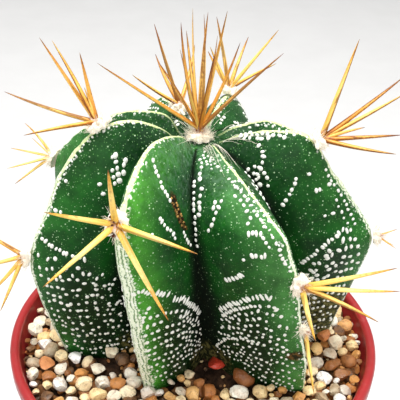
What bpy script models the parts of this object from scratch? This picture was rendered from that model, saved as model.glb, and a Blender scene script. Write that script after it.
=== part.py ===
"""A potted star cactus: a spotted stem with eight ribs, in a 10 cm plastic pot topped with gravel.

Run with: blender --background --python part.py
Metres, +Z up. The origin is the centre of the pot's underside; the front of the plant faces -Y.
"""

import math
import random

import bmesh
import bpy
import numpy as np
from mathutils import Euler, Matrix, Vector

MM = 0.001

# Pot
POT_HEIGHT = 88 * MM
RIM_RADIUS = 50 * MM
LIP_WIDTH = 2.6 * MM
LIP_DEPTH = 4.2 * MM
LIP_EDGE = 0.5 * MM
POT_WALL = 1.6 * MM
POT_FLOOR = 2.2 * MM
BASE_RADIUS = 35 * MM
BASE_CHAMFER = 1.2 * MM
DRAIN_HOLES = 6
DRAIN_RADIUS = 3.5 * MM
DRAIN_CIRCLE = 24 * MM

# Clearance that touching pieces keep
GAP = 0.3 * MM

# Soil and gravel, as depths below the rim
SOIL_DEPTH = 10.4 * MM
GRAVEL_BOTTOM = 10.0 * MM
GRAVEL_AT_PLANT = 0.4 * MM
GRAVEL_AT_WALL = 6.0 * MM
GRAVEL_ROOM = 1.05 * MM
GRAVEL_ROOM_IN_GROOVE = 2.6 * MM
PEBBLE_SIZES = (1.6 * MM, 3.4 * MM)
PEBBLE_ROOTS = (2.4 * MM, 3.6 * MM)
PEBBLE_TRIES = 9000
PEBBLE_PACKING = 0.71
PEBBLE_SEED = 5

# Plant
PLANT_CENTRE = Vector((0.0, 4 * MM, 0.0))
CROWN_RADIUS = 5.2 * MM
CROWN_HEIGHT = 57 * MM
COLLAR_RADIUS = 13 * MM
COLLAR_DEPTH = 30 * MM
RINGS_PER_STEP = 2
CREST_HALF_WIDTH = 1.3 * MM
FLANK_BULGE = 0.11
FLANK_SHARES = (0.30, 0.62, 0.88)
# A groove is shallower by this share as the ribs beside it come closer than the angle in degrees
NARROW_GROOVE_LIFT = 0.2
WIDE_GROOVE = 45
# Ribs, bulges and grooves reach their full form this many places down from the crown
FORMED_PLACE = 3
# Under the gravel: depth in mm, and the share left of a rib's reach past the root collar
ROOT_TAPER = [(6, 0.8), (8.6, 0.4), (9.9, 0)]

# Each rib: its bearing at the crown and at the foot in degrees (0 faces -Y, 90 faces +X), how far the
# groove after it is shifted on, and its crest as (distance from the plant's axis, height over the rim)
# in mm, from the crown to the foot.
RIBS = {
    "a": (-24, -24, -8, [(9, 61.5), (17, 65.5), (25, 67), (33, 63.5), (39.4, 55.5), (39.6, 46.5),
                         (36.5, 33), (33.5, 19), (31, 8), (28.5, -2)]),
    "b": (26, 50, 0, [(8, 59), (15, 57.5), (22, 56), (30, 53), (35.6, 49.5), (37.2, 43.5),
                      (37.8, 36.5), (38.3, 22.5), (39, 10), (37.8, -2)]),
    "d": (73, 86, 0, [(10, 60), (17, 62.3), (24, 63), (28.3, 60.8), (33, 53.5), (38.2, 46.5),
                      (44.6, 35.5), (42.5, 22), (39.5, 9), (37.5, -2)]),
    "h": (114, 124, 0, [(9, 58.5), (17, 59), (23.5, 56.5), (29, 52.5), (33.5, 46.5), (37.5, 39.5),
                        (40, 31), (40.5, 20.5), (39, 9), (37, -2)]),
    "g": (163, 163, 0, [(9, 58), (17, 59), (25.5, 58), (32.5, 53.5), (37.5, 47.5), (41.5, 40),
                        (43.5, 30), (42, 19), (39, 8), (36.5, -2)]),
    "f": (202, 204, 0, [(9, 58), (14, 58.3), (21, 57.8), (28.5, 55.5), (35, 50.5), (40, 43),
                        (43.5, 32), (42, 20), (39, 8), (36.5, -2)]),
    "e": (246, 246, 0, [(9, 61.5), (17, 61), (24, 58.3), (31, 54), (37.8, 47.5), (42.5, 40.5),
                        (43, 31), (42, 20), (39, 8), (36.5, -2)]),
    "c": (289, 289, 0, [(10, 61.5), (17, 64.3), (24.5, 63.4), (30, 58.7), (34.7, 52), (37.5, 45),
                        (43.2, 30.5), (42, 18), (39.5, 8), (36.5, -2)]),
}
GROOVE = [(8, 56.5), (12, 55), (16, 52.5), (19.5, 48.5), (22, 43.5), (23.2, 37.5),
          (22.8, 29.5), (20.5, 19), (18, 8), (15, -2)]

# Areoles: half the length and width of a wool pad, its height, and the knot of spine bases on it
PAD_LENGTH = 3.3 * MM
PAD_WIDTH = 2.5 * MM
PAD_HEIGHT = 1.3 * MM
CROWN_PAD_RADIUS = 4.6 * MM
CROWN_PAD_HEIGHT = 2.8 * MM
PAD_SIDES = 10
# A pad's dome as (share of its half width, share of its height), from the flat top to the underside
PAD_DOME = [(0.62, 1), (0.88, 0.72), (1, 0.3), (0.92, 0)]
KNOT_RADIUS = 1.5 * MM
CROWN_KNOT_RADIUS = 3 * MM
KNOT_HEIGHT = 0.9 * MM
KNOT_SIDES = 8
SPINE_RADIUS = 0.85 * MM
SPINE_TIP_RADIUS = 0.15 * MM
SPINE_SIDES = 5
# A spine shorter than this is slimmer in the same measure
FULL_SPINE = 12 * MM

# Each areole: its rib, its place on the crest (0 is the crown, 10 the foot), and its spines as
# (swing from the rib's own bearing, rise over the horizontal, length in mm)
AREOLES = {
    "a1": ("a", 5, [(5, 80, 14), (-45, 22, 15), (-15, -13, 20), (58, -26, 23), (85, 0, 19)]),
    "b1": ("b", 7, [(47, 20, 21), (40, 8, 21), (27, -10, 18), (-20, -40, 12)]),
    "b2": ("b", 8, [(-31, -43, 14)]),
    "c1": ("c", 3, [(-60, 39, 24), (-60, 48, 21), (-80, 57, 16), (-65, 60, 8), (-28, 14, 22),
                    (12, 2, 17)]),
    "c2": ("c", 7, [(0, -5, 14), (24, -32, 13), (45, -43, 14), (-40, 20, 17)]),
    "d1": ("d", 4, [(66, 60, 24), (38, 32, 24), (31, 26, 22), (10, 8, 18), (-4, -1, 17),
                    (14, 20, 10)]),
    "d2": ("d", 7, [(-24, -18, 5), (5, -30, 4.5), (30, 10, 5)]),
    "e1": ("e", 6, [(8, 40, 7), (30, 15, 11), (48, -6, 12), (58, -26, 12), (-30, 10, 17)]),
    "f1": ("f", 2, [(25, 64, 21), (-35, 36, 18), (3, 24, 18), (70, 34, 14)]),
    "f2": ("f", 8, [(-50, 8, 18), (48, 10, 19), (-22, 24, 20), (26, 28, 18), (2, 4, 21), (-12, -34, 16),
                    (34, -30, 15)]),
    "g1": ("g", 3, [(50, 68, 19), (78, 60, 12), (-55, 50, 20), (0, 24, 20), (36, 12, 18),
                    (-30, 8, 18)]),
    "g2": ("g", 8, [(-52, 10, 18), (46, 6, 19), (-20, 28, 18), (24, 24, 20), (0, 8, 21), (-30, -32, 15),
                    (14, -36, 16)]),
    "h1": ("h", 8, [(10, -35, 12), (40, -10, 14), (56, 28, 12), (68, 0, 15), (78, 22, 13)]),
}
# The crown's spines, with the swing counted from the front
CROWN_SPINES = [(-97, 31, 28), (-145, 70, 25), (-160, 62, 23), (172, 72, 27), (148, 68, 28),
                (105, 42, 26), (128, 60, 22), (-60, 74, 14), (40, 78, 20), (-118, 52, 18)]

# Materials: colour, roughness, metallic
MATERIALS = {
    "pot_plastic": ((0.66, 0.12, 0.09), 0.35, 0.0),
    "soil": ((0.07, 0.045, 0.03), 0.95, 0.0),
    "gravel": ((0.62, 0.50, 0.38), 0.8, 0.0),
    "flesh": ((0.035, 0.17, 0.045), 0.45, 0.0),
    "wool": ((0.86, 0.80, 0.70), 0.95, 0.0),
    "spine": ((0.72, 0.40, 0.11), 0.5, 0.0),
}


def clear_scene():
    for thing in list(bpy.data.objects):
        bpy.data.objects.remove(thing, do_unlink=True)


def new_collection(name):
    collection = bpy.data.collections.new(name)
    bpy.context.scene.collection.children.link(collection)
    return collection


def new_material(name):
    colour, roughness, metallic = MATERIALS[name]
    material = bpy.data.materials.new(name)
    material.use_nodes = True
    shader = material.node_tree.nodes["Principled BSDF"]
    shader.inputs["Base Color"].default_value = (*colour, 1)
    shader.inputs["Roughness"].default_value = roughness
    shader.inputs["Metallic"].default_value = metallic
    material.diffuse_color = (*colour, 1)
    return material


def add_mesh(name, mesh, collection, material=None):
    thing = bpy.data.objects.new(name, mesh)
    collection.objects.link(thing)
    if material:
        mesh.materials.append(material)
    return thing


def mesh_from(shape, name):
    """A mesh from a bmesh, which is freed, with its normals pointing outwards."""
    bmesh.ops.recalc_face_normals(shape, faces=shape.faces)
    mesh = bpy.data.meshes.new(name)
    shape.to_mesh(mesh)
    shape.free()
    return mesh


def apply_modifiers(thing):
    """Replace an object's mesh by what its modifiers make of it."""
    graph = bpy.context.evaluated_depsgraph_get()
    mesh = bpy.data.meshes.new_from_object(thing.evaluated_get(graph))
    thing.modifiers.clear()
    thing.data = mesh


def keep_largest_shell(mesh):
    """Fill the hollows that a union sealed, and drop loose scraps, by keeping the outer skin alone."""
    shape = bmesh.new()
    shape.from_mesh(mesh)
    bmesh.ops.triangulate(shape, faces=shape.faces)
    left = set(shape.faces)
    shells = []
    while left:
        shell, border = [], [left.pop()]
        while border:
            face = border.pop()
            shell.append(face)
            seams = [edge.link_faces for edge in face.edges if len(edge.link_faces) == 2]
            beside = {other for faces in seams for other in faces} & left
            left -= beside
            border += beside
        shells.append(shell)
    largest = max(shells, key=len)
    spare = [face for shell in shells if shell is not largest for face in shell]
    bmesh.ops.delete(shape, geom=spare, context="FACES")
    shape.to_mesh(mesh)
    shape.free()


def fuse(thing, pieces):
    """Join a collection's objects to one object with a single union, then remove them."""
    union = thing.modifiers.new("fuse", "BOOLEAN")
    union.operation = "UNION"
    union.solver = "EXACT"
    union.use_self = True
    union.operand_type = "COLLECTION"
    union.collection = pieces
    apply_modifiers(thing)
    keep_largest_shell(thing.data)
    for piece in list(pieces.objects):
        bpy.data.objects.remove(piece, do_unlink=True)
    bpy.data.collections.remove(pieces)


def shade_smooth(thing, degrees):
    thing.data.shade_smooth()
    thing.data.set_sharp_from_angle(angle=math.radians(degrees))


def turned(name, profile, steps, collection, material):
    """A closed profile of (radius, height) points turned round the Z axis."""
    mesh = bpy.data.meshes.new(name)
    points = [(radius, 0, height) for radius, height in profile]
    mesh.from_pydata(points, [(i, i + 1) for i in range(len(points) - 1)], [])
    thing = add_mesh(name, mesh, collection, material)
    screw = thing.modifiers.new("turn", "SCREW")
    screw.steps = screw.render_steps = steps
    screw.use_merge_vertices = True
    screw.merge_threshold = 0.00001
    screw.use_smooth_shade = True
    return thing


def pot_inner_radius(height):
    """The pot's inner wall widens evenly from its floor to its rim."""
    share = (height - POT_FLOOR) / (POT_HEIGHT - POT_FLOOR)
    bottom = BASE_RADIUS - POT_WALL
    return bottom + share * (RIM_RADIUS - LIP_WIDTH - bottom)


def pot_profile():
    """From the middle of the underside, up the outside, over the round lip and down the inside."""
    lip = LIP_WIDTH / 2
    under_lip = POT_HEIGHT - LIP_DEPTH
    profile = [(0, 0), (BASE_RADIUS - BASE_CHAMFER, 0), (BASE_RADIUS, BASE_CHAMFER),
               (pot_inner_radius(under_lip) + POT_WALL, under_lip),
               (RIM_RADIUS - LIP_EDGE, under_lip + LIP_EDGE)]
    for turn in range(-30, 211, 40):
        angle = math.radians(turn)
        profile.append((RIM_RADIUS - lip + lip * math.cos(angle), POT_HEIGHT - lip + lip * math.sin(angle)))
    profile += [(pot_inner_radius(under_lip), under_lip), (pot_inner_radius(POT_FLOOR), POT_FLOOR),
                (0, POT_FLOOR)]
    return profile


def make_pot(part, cutters, material):
    pot = turned("pot", reversed(pot_profile()), 48, part, material)
    holes = new_collection("drain_hole_cutters")
    for i in range(DRAIN_HOLES):
        angle = math.tau * (i + 0.5) / DRAIN_HOLES
        shape = bmesh.new()
        bmesh.ops.create_cone(shape, cap_ends=True, segments=14, radius1=DRAIN_RADIUS,
                              radius2=DRAIN_RADIUS, depth=4 * POT_FLOOR)
        hole = add_mesh(f"drain_hole_{i + 1}", mesh_from(shape, "drain_hole"), holes)
        hole.location = (DRAIN_CIRCLE * math.cos(angle), DRAIN_CIRCLE * math.sin(angle), 0)
        hole.hide_render = True
        hole.display_type = "WIRE"
    cut = pot.modifiers.new("drain holes", "BOOLEAN")
    cut.operand_type = "COLLECTION"
    cut.collection = holes
    bpy.context.scene.collection.children.unlink(holes)
    cutters.children.link(holes)
    return pot


def make_soil(part, material):
    """The soil fills the pot below the gravel, with a plain round hole for the plant's root collar."""
    top = POT_HEIGHT - SOIL_DEPTH
    floor = POT_FLOOR + GAP
    hole = COLLAR_RADIUS + GAP
    hole_floor = POT_HEIGHT - COLLAR_DEPTH - GAP
    profile = [(0, hole_floor), (hole, hole_floor), (hole, top),
               (pot_inner_radius(top) - GAP, top), (pot_inner_radius(floor) - GAP, floor), (0, floor)]
    soil = turned("soil", profile, 32, part, material)
    # The hole stands on the plant's axis, so its points are moved there.
    apply_modifiers(soil)
    for vertex in soil.data.vertices:
        if vertex.co.xy.length < hole + GAP and vertex.co.z > floor + GAP:
            vertex.co.xy += PLANT_CENTRE.xy
    return soil


def curve_at(points, place):
    """A smooth curve through evenly numbered points (Catmull-Rom)."""
    index = min(int(place), len(points) - 2)
    share = place - index
    before = points[max(index - 1, 0)]
    start, end = points[index], points[index + 1]
    after = points[min(index + 2, len(points) - 1)]
    return 0.5 * (2 * start + (end - before) * share
                  + (2 * before - 5 * start + 4 * end - after) * share ** 2
                  + (3 * start - before - 3 * end + after) * share ** 3)


def outline_points(outline):
    """An outline in mm, started at the crown's edge, as 2-D points in metres over the pot's base."""
    start = Vector((CROWN_RADIUS, POT_HEIGHT + CROWN_HEIGHT))
    return [start] + [Vector((r * MM, POT_HEIGHT + z * MM)) for r, z in outline]


CRESTS = {name: outline_points(rib[-1]) for name, rib in RIBS.items()}
GROOVE_POINTS = outline_points(GROOVE)
LAST_PLACE = len(GROOVE)


def rib_bearing(name, place):
    """A rib twists a little on its way down, most of it near the foot."""
    crown, foot = RIBS[name][:2]
    return math.radians(crown + (foot - crown) * (place / LAST_PLACE) ** 2)


def around_axis(radius, bearing, height):
    return PLANT_CENTRE + Vector((radius * math.sin(bearing), -radius * math.cos(bearing), height))


def crest_at(name, place):
    radius, height = curve_at(CRESTS[name], place)
    return around_axis(radius, rib_bearing(name, place), height)


def formed(place):
    return min(place / FORMED_PLACE, 1)


def groove_at(left, right, place):
    """The bottom of the groove between two ribs, which is shallower where they stand close."""
    radius, height = curve_at(GROOVE_POINTS, place)
    first, second = rib_bearing(left, place), rib_bearing(right, place)
    second += math.tau if second < first else 0
    narrow = 1 - (second - first) / math.radians(WIDE_GROOVE)
    radius *= 1 + NARROW_GROOVE_LIFT * narrow * formed(place)
    shift = math.radians(RIBS[left][2]) * (1 - (place / LAST_PLACE) ** 2)
    return around_axis(radius, (first + second) / 2 + shift, height)


def flank(crest, groove, place):
    """Points from a crest's edge down one side of the rib, short of the groove's bottom."""
    slope = groove - crest
    run = Vector((slope.x, slope.y, 0))
    side = run.normalized()
    outward = Vector((side.y, -side.x, 0))
    if outward.dot(crest - PLANT_CENTRE) < 0:
        outward.negate()
    points = [crest + side * CREST_HALF_WIDTH * formed(place)]
    for share in FLANK_SHARES:
        swell = FLANK_BULGE * formed(place) * run.length * math.sin(math.pi * share)
        points.append(crest + slope * share + outward * swell)
    return points


def body_ring(place):
    """One ring round the stem, rib by rib: crest, flank, groove, and up the next flank."""
    names = list(RIBS)
    ring = []
    for i, name in enumerate(names):
        following = names[(i + 1) % len(names)]
        crest, groove = crest_at(name, place), groove_at(name, following, place)
        ring.append(crest)
        ring += flank(crest, groove, place)
        ring.append(groove)
        ring += reversed(flank(crest_at(following, place), groove, place))
    return ring


def crown_ring(points):
    """The crown's rim: the first ring's points drawn onto a level circle."""
    ring = []
    for point in points:
        flat = (point - PLANT_CENTRE) * Vector((1, 1, 0))
        ring.append(PLANT_CENTRE + flat.normalized() * CROWN_RADIUS
                    + Vector((0, 0, POT_HEIGHT + CROWN_HEIGHT)))
    return ring


def root_rings(foot):
    """Below the gravel's surface the ribs run in to a round root collar."""
    rings = []
    for depth, left in ROOT_TAPER + [(COLLAR_DEPTH / MM, 0)]:
        ring = []
        for point in foot:
            flat = (point - PLANT_CENTRE) * Vector((1, 1, 0))
            radius = COLLAR_RADIUS + left * max(flat.length - COLLAR_RADIUS, 0)
            ring.append(PLANT_CENTRE + flat.normalized() * radius
                        + Vector((0, 0, POT_HEIGHT - depth * MM)))
        rings.append(ring)
    return rings


def loft(name, rings, closed):
    """A skin over rings of equal count: closed into a tube ring, or capped at both ends."""
    shape = bmesh.new()
    rows = [[shape.verts.new(point) for point in ring] for ring in rings]
    pairs = list(zip(rows, rows[1:]))
    if closed:
        pairs.append((rows[-1], rows[0]))
    for upper, lower in pairs:
        for i in range(len(upper)):
            j = (i + 1) % len(upper)
            shape.faces.new((upper[i], upper[j], lower[j], lower[i]))
    if not closed:
        shape.faces.new(rows[0])
        shape.faces.new(rows[-1])
    return mesh_from(shape, name)


def make_body(part, material):
    steps = LAST_PLACE * RINGS_PER_STEP
    rings = [body_ring(i / RINGS_PER_STEP) for i in range(1, steps + 1)]
    rings = [crown_ring(rings[0])] + rings + root_rings(rings[-1])
    body = add_mesh("cactus_body", loft("cactus_body", rings, closed=False), part, material)
    shade_smooth(body, 40)
    return body


def moved_out(ring, i, by):
    """A ring's point moved away from the plant, square to the ring there."""
    along = ring[(i + 1) % len(ring)] - ring[i - 1]
    return ring[i] + Vector((along.y, -along.x, 0)).normalized() * by


def on_wall(point, height):
    """Where a line from the plant's axis through a point meets the pot's wall."""
    flat = (point - PLANT_CENTRE) * Vector((1, 1, 0))
    way = flat.normalized()
    reach = pot_inner_radius(height) - GAP
    centre = PLANT_CENTRE * Vector((1, 1, 0))
    along = -centre.dot(way) + math.sqrt(centre.dot(way) ** 2 - centre.length_squared + reach ** 2)
    return centre + way * along + Vector((0, 0, height))


def at_height(point, height):
    return Vector((point.x, point.y, height))


def gravel_outline():
    """The plant's outline where it meets the gravel, with room round it and blunt grooves."""
    foot = body_ring(LAST_PLACE - 0.2)
    stride = len(foot) // len(RIBS)
    groove = stride // 2
    outline = []
    for i in range(len(foot)):
        if abs(i % stride - groove) == 1:
            continue
        in_groove = i % stride == groove
        outline.append(moved_out(foot, i, GRAVEL_ROOM_IN_GROOVE if in_groove else GRAVEL_ROOM))
    return outline


def gravel_height(spot, outline):
    """The height of the bed at a spot: heaped a little round the plant and lower at the pot's wall."""
    wall = on_wall(Vector((*spot, 0)), POT_HEIGHT - GRAVEL_AT_WALL)
    reaches = [(point - PLANT_CENTRE).xy for point in outline]
    reach = spot - PLANT_CENTRE.xy
    inner = np.interp(math.atan2(*reach), [math.atan2(*edge) for edge in reaches],
                      [edge.length for edge in reaches], period=math.tau)
    share = (reach.length - inner) / ((wall - PLANT_CENTRE).xy.length - inner)
    return POT_HEIGHT - GRAVEL_AT_PLANT - (GRAVEL_AT_WALL - GRAVEL_AT_PLANT) * share


def gravel_bed(outline):
    bottom = POT_HEIGHT - GRAVEL_BOTTOM
    return [
        [at_height(point, bottom) for point in outline],
        [at_height(point, POT_HEIGHT - GRAVEL_AT_PLANT) for point in outline],
        [on_wall(point, POT_HEIGHT - GRAVEL_AT_WALL) for point in outline],
        [on_wall(point, bottom) for point in outline],
    ]


def pebble_room(spot, outline):
    """How big a pebble fits between the plant and the pot's wall. It is negative inside the plant."""
    edge = np.array([point.xy for point in outline])
    ends = np.roll(edge, -1, axis=0)
    here = np.array(spot)
    along = ends - edge
    share = np.clip(((here - edge) * along).sum(1) / (along ** 2).sum(1), 0, 1)
    near = np.sqrt((((edge + share[:, None] * along) - here) ** 2).sum(1)).min()
    crosses = (edge[:, 1] > here[1]) != (ends[:, 1] > here[1])
    at = edge[:, 0] + (here[1] - edge[:, 1]) * along[:, 0] / np.where(crosses, along[:, 1], 1)
    if (crosses & (at > here[0])).sum() % 2:
        return -near
    wall = pot_inner_radius(POT_HEIGHT - GRAVEL_AT_WALL - 2 * MM) - GAP - math.hypot(*spot)
    return min(near, wall)


def pebble_mesh(draw, size, height):
    """An angular pebble: a coarse ball, turned and squashed, with its root in the bed."""
    shape = bmesh.new()
    bmesh.ops.create_icosphere(shape, subdivisions=1, radius=size)
    turn = Euler([draw.uniform(0, math.tau) for axis in range(3)]).to_matrix()
    squash = Matrix.Diagonal([draw.uniform(*span) for span in ((0.9, 1.0), (0.75, 0.95), (0.65, 0.85))])
    spin = Matrix.Rotation(draw.uniform(0, math.tau), 3, "Z")
    root = POT_HEIGHT - GRAVEL_BOTTOM + draw.uniform(*PEBBLE_ROOTS) - height
    for vertex in shape.verts:
        vertex.co = spin @ squash @ turn @ vertex.co * draw.uniform(0.9, 1.0)
        if vertex.co.z < 0:
            vertex.co.z += root
    return mesh_from(shape, "pebble")


def make_gravel(part, material):
    """A thin bed round the plant, covered with pebbles that are sunk into it and into each other."""
    outline = gravel_outline()
    bed = add_mesh("gravel", loft("gravel", gravel_bed(outline), closed=True), part, material)
    draw = random.Random(PEBBLE_SEED)
    pebbles = new_collection("pebbles")
    placed = []
    for attempt in range(PEBBLE_TRIES):
        # The larger pebbles are laid first, and smaller ones between them.
        smallest, largest = PEBBLE_SIZES
        largest -= (largest - smallest) * attempt / PEBBLE_TRIES
        spot = Vector((draw.uniform(-RIM_RADIUS, RIM_RADIUS), draw.uniform(-RIM_RADIUS, RIM_RADIUS)))
        room = pebble_room(spot, outline)
        if room < smallest:
            continue
        size = min(room, draw.uniform(0.8 * largest + 0.2 * smallest, largest))
        if any((spot - other).length < PEBBLE_PACKING * (size + taken) for other, taken in placed):
            continue
        placed.append((spot, size))
        height = gravel_height(spot, outline) + draw.uniform(0.0, 0.35) * size
        pebble = add_mesh(f"pebble_{len(placed)}", pebble_mesh(draw, size, height), pebbles)
        pebble.location = (*spot, height)
    fuse(bed, pebbles)
    return bed


def areole_frame(rib, place):
    """The seat of an areole on a crest, with Z pointing out of the plant and Y towards the crown."""
    step = 0.3
    seat = crest_at(rib, place)
    upward = (crest_at(rib, place - step) - crest_at(rib, place + step)).normalized()
    bearing = rib_bearing(rib, place)
    side = Vector((math.cos(bearing), math.sin(bearing), 0))
    outward = side.cross(upward).normalized()
    side = upward.cross(outward)
    frame = Matrix((side, upward, outward)).transposed().to_4x4()
    frame.translation = seat + outward * GAP
    return frame


def make_pad(name, frame, length, width, height, part, material):
    """A low dome of wool with a flat underside and a flat top for the spines."""
    shape = bmesh.new()
    rows = []
    for reach, rise in PAD_DOME:
        turns = [math.tau * i / PAD_SIDES for i in range(PAD_SIDES)]
        rows.append([shape.verts.new((width * reach * math.cos(turn), length * reach * math.sin(turn),
                                      height * rise)) for turn in turns])
    for upper, lower in zip(rows, rows[1:]):
        for i in range(PAD_SIDES):
            j = (i + 1) % PAD_SIDES
            shape.faces.new((upper[i], upper[j], lower[j], lower[i]))
    shape.faces.new(rows[0])
    shape.faces.new(rows[-1])
    pad = add_mesh(name, mesh_from(shape, name), part, material)
    pad.matrix_world = frame
    shade_smooth(pad, 60)
    return pad


def spine_way(bearing, rise):
    level = Vector((math.sin(bearing), -math.cos(bearing), 0))
    return level * math.cos(rise) + Vector((0, 0, math.sin(rise)))


def make_spines(name, frame, height, bearing, spines, knot, part, material):
    """A slim knot on the wool, and the spines that stand out of it as one body."""
    base = frame @ Vector((0, 0, height + GAP + KNOT_HEIGHT / 2))
    shape = bmesh.new()
    bmesh.ops.create_cone(shape, cap_ends=True, segments=KNOT_SIDES, radius1=knot, radius2=0.7 * knot,
                          depth=KNOT_HEIGHT)
    seat = Matrix.Translation(base) @ frame.to_3x3().to_4x4()
    bmesh.ops.transform(shape, matrix=seat, verts=shape.verts)
    bunch = add_mesh(name, mesh_from(shape, name), part, material)
    loose = new_collection("loose_spines")
    outward = frame.col[2].to_3d()
    for i, (swing, rise, length) in enumerate(spines):
        length *= MM
        way = spine_way(bearing + math.radians(swing), math.radians(rise))
        shape = bmesh.new()
        bmesh.ops.create_cone(shape, cap_ends=True, segments=SPINE_SIDES,
                              radius1=SPINE_RADIUS * min(1, length / FULL_SPINE),
                              radius2=SPINE_TIP_RADIUS, depth=length)
        spine = add_mesh(f"spine_{i + 1}", mesh_from(shape, "spine"), loose)
        root = base + (way - way.project(outward)) * knot / 3
        turn = way.to_track_quat("Z", "Y").to_matrix().to_4x4()
        spine.matrix_world = Matrix.Translation(root + way * length / 2) @ turn
    bpy.context.view_layer.update()
    fuse(bunch, loose)
    return bunch


def make_areoles(part, wool, spine):
    for name, (rib, place, spines) in AREOLES.items():
        frame = areole_frame(rib, place)
        make_pad(f"wool_{name}", frame, PAD_LENGTH, PAD_WIDTH, PAD_HEIGHT, part, wool)
        make_spines(f"spines_{name}", frame, PAD_HEIGHT, rib_bearing(rib, place), spines, KNOT_RADIUS,
                    part, spine)


def make_crown(part, wool, spine):
    """The woolly crown in the middle of the top, with the youngest and longest spines."""
    frame = Matrix.Translation(PLANT_CENTRE + Vector((0, 0, POT_HEIGHT + CROWN_HEIGHT + GAP)))
    make_pad("wool_crown", frame, CROWN_PAD_RADIUS, CROWN_PAD_RADIUS, CROWN_PAD_HEIGHT, part, wool)
    make_spines("spines_crown", frame, CROWN_PAD_HEIGHT, 0, CROWN_SPINES, CROWN_KNOT_RADIUS,
                part, spine)


def main():
    clear_scene()
    part = new_collection("potted_star_cactus")
    cutters = new_collection("cutters")
    finish = {name: new_material(name) for name in MATERIALS}
    make_pot(part, cutters, finish["pot_plastic"])
    make_soil(part, finish["soil"])
    make_body(part, finish["flesh"])
    make_gravel(part, finish["gravel"])
    make_areoles(part, finish["wool"], finish["spine"])
    make_crown(part, finish["wool"], finish["spine"])


main()
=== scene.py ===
import math
import random
from functools import lru_cache, reduce
from itertools import product

import bpy
import numpy as np
from mathutils import Matrix, Vector, noise


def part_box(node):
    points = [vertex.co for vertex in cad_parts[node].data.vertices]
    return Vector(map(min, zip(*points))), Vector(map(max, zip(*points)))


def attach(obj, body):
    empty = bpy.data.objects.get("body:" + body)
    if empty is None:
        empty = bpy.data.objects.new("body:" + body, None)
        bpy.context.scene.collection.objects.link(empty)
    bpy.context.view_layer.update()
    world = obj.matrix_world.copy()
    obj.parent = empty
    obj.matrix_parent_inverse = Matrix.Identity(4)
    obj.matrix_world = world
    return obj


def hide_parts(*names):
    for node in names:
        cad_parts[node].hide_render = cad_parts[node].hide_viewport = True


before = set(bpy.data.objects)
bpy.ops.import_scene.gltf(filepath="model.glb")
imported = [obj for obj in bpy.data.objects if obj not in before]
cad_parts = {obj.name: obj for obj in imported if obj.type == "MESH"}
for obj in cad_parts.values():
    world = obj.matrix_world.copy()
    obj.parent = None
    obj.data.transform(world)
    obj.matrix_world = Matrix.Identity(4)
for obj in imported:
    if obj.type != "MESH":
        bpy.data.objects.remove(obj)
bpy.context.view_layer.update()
scene = bpy.context.scene
mm = 0.001
gap = 0.3 * mm
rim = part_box("pot")[1].z
print("frame loaded, pot rim at", round(rim / mm, 1), "mm")


# small helpers

def own(values, key):  # what a rib, flank or areole has of its own, or else what is usual
    return values.get(key, values["usual"])


def within(value, low=0, high=1):
    return min(max(value, low), high)


def deselectAll():
    if bpy.context.mode != "OBJECT":
        bpy.ops.object.mode_set(mode="OBJECT")
    bpy.ops.object.select_all(action="DESELECT")


def pickOnly(piece):
    deselectAll()
    piece.select_set(True)
    bpy.context.view_layer.objects.active = piece


def settle(piece, name, material, nodes=()):  # the name, material and body of a finished piece, with the solids it stands in for hidden
    piece.name = piece.data.name = name
    piece.data.materials.clear()
    piece.data.materials.append(material)
    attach(piece, "root")
    if nodes:
        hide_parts(*nodes)


def smooth(piece, angle=180):
    pickOnly(piece)
    if angle == 180:
        bpy.ops.object.shade_smooth()
    else:
        bpy.ops.object.shade_smooth_by_angle(angle=math.radians(angle))


def addTag(mesh, name, values):  # a value at each point, which a material reads by its name
    mesh.attributes.new(name, "FLOAT", "POINT").data.foreach_set("value", values)


def asShape(piece):  # a modelled thing as points and faces, ready to be copied many times
    points = np.empty(len(piece.data.vertices) * 3)
    piece.data.vertices.foreach_get("co", points)
    faces = [tuple(face.vertices) for face in piece.data.polygons]
    bpy.data.objects.remove(piece, do_unlink=True)
    return points.reshape(-1, 3), faces


def moved(points, matrix):
    turned = np.array(matrix.to_3x3())
    return points @ turned.T + np.array(matrix.translation)


def pieceFrom(copies):  # one mesh from many copies, each its points, its faces and its tags
    points, faces, start = [], [], 0
    values = {name: [] for name in copies[0][2]}
    for ownPoints, ownFaces, ownTags in copies:
        points.append(ownPoints)
        faces += [tuple(start + i for i in face) for face in ownFaces]
        start += len(ownPoints)
        for name, value in ownTags.items():  # one value for the whole copy, or one for each point
            values[name].append(np.broadcast_to(value, len(ownPoints)))
    mesh = bpy.data.meshes.new("copies")
    mesh.from_pydata(np.concatenate(points), [], faces)
    for name in values:
        addTag(mesh, name, np.concatenate(values[name]))
    piece = bpy.data.objects.new("copies", mesh)
    scene.collection.objects.link(piece)
    return piece


# the plant's own shape, as in the solids

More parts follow.
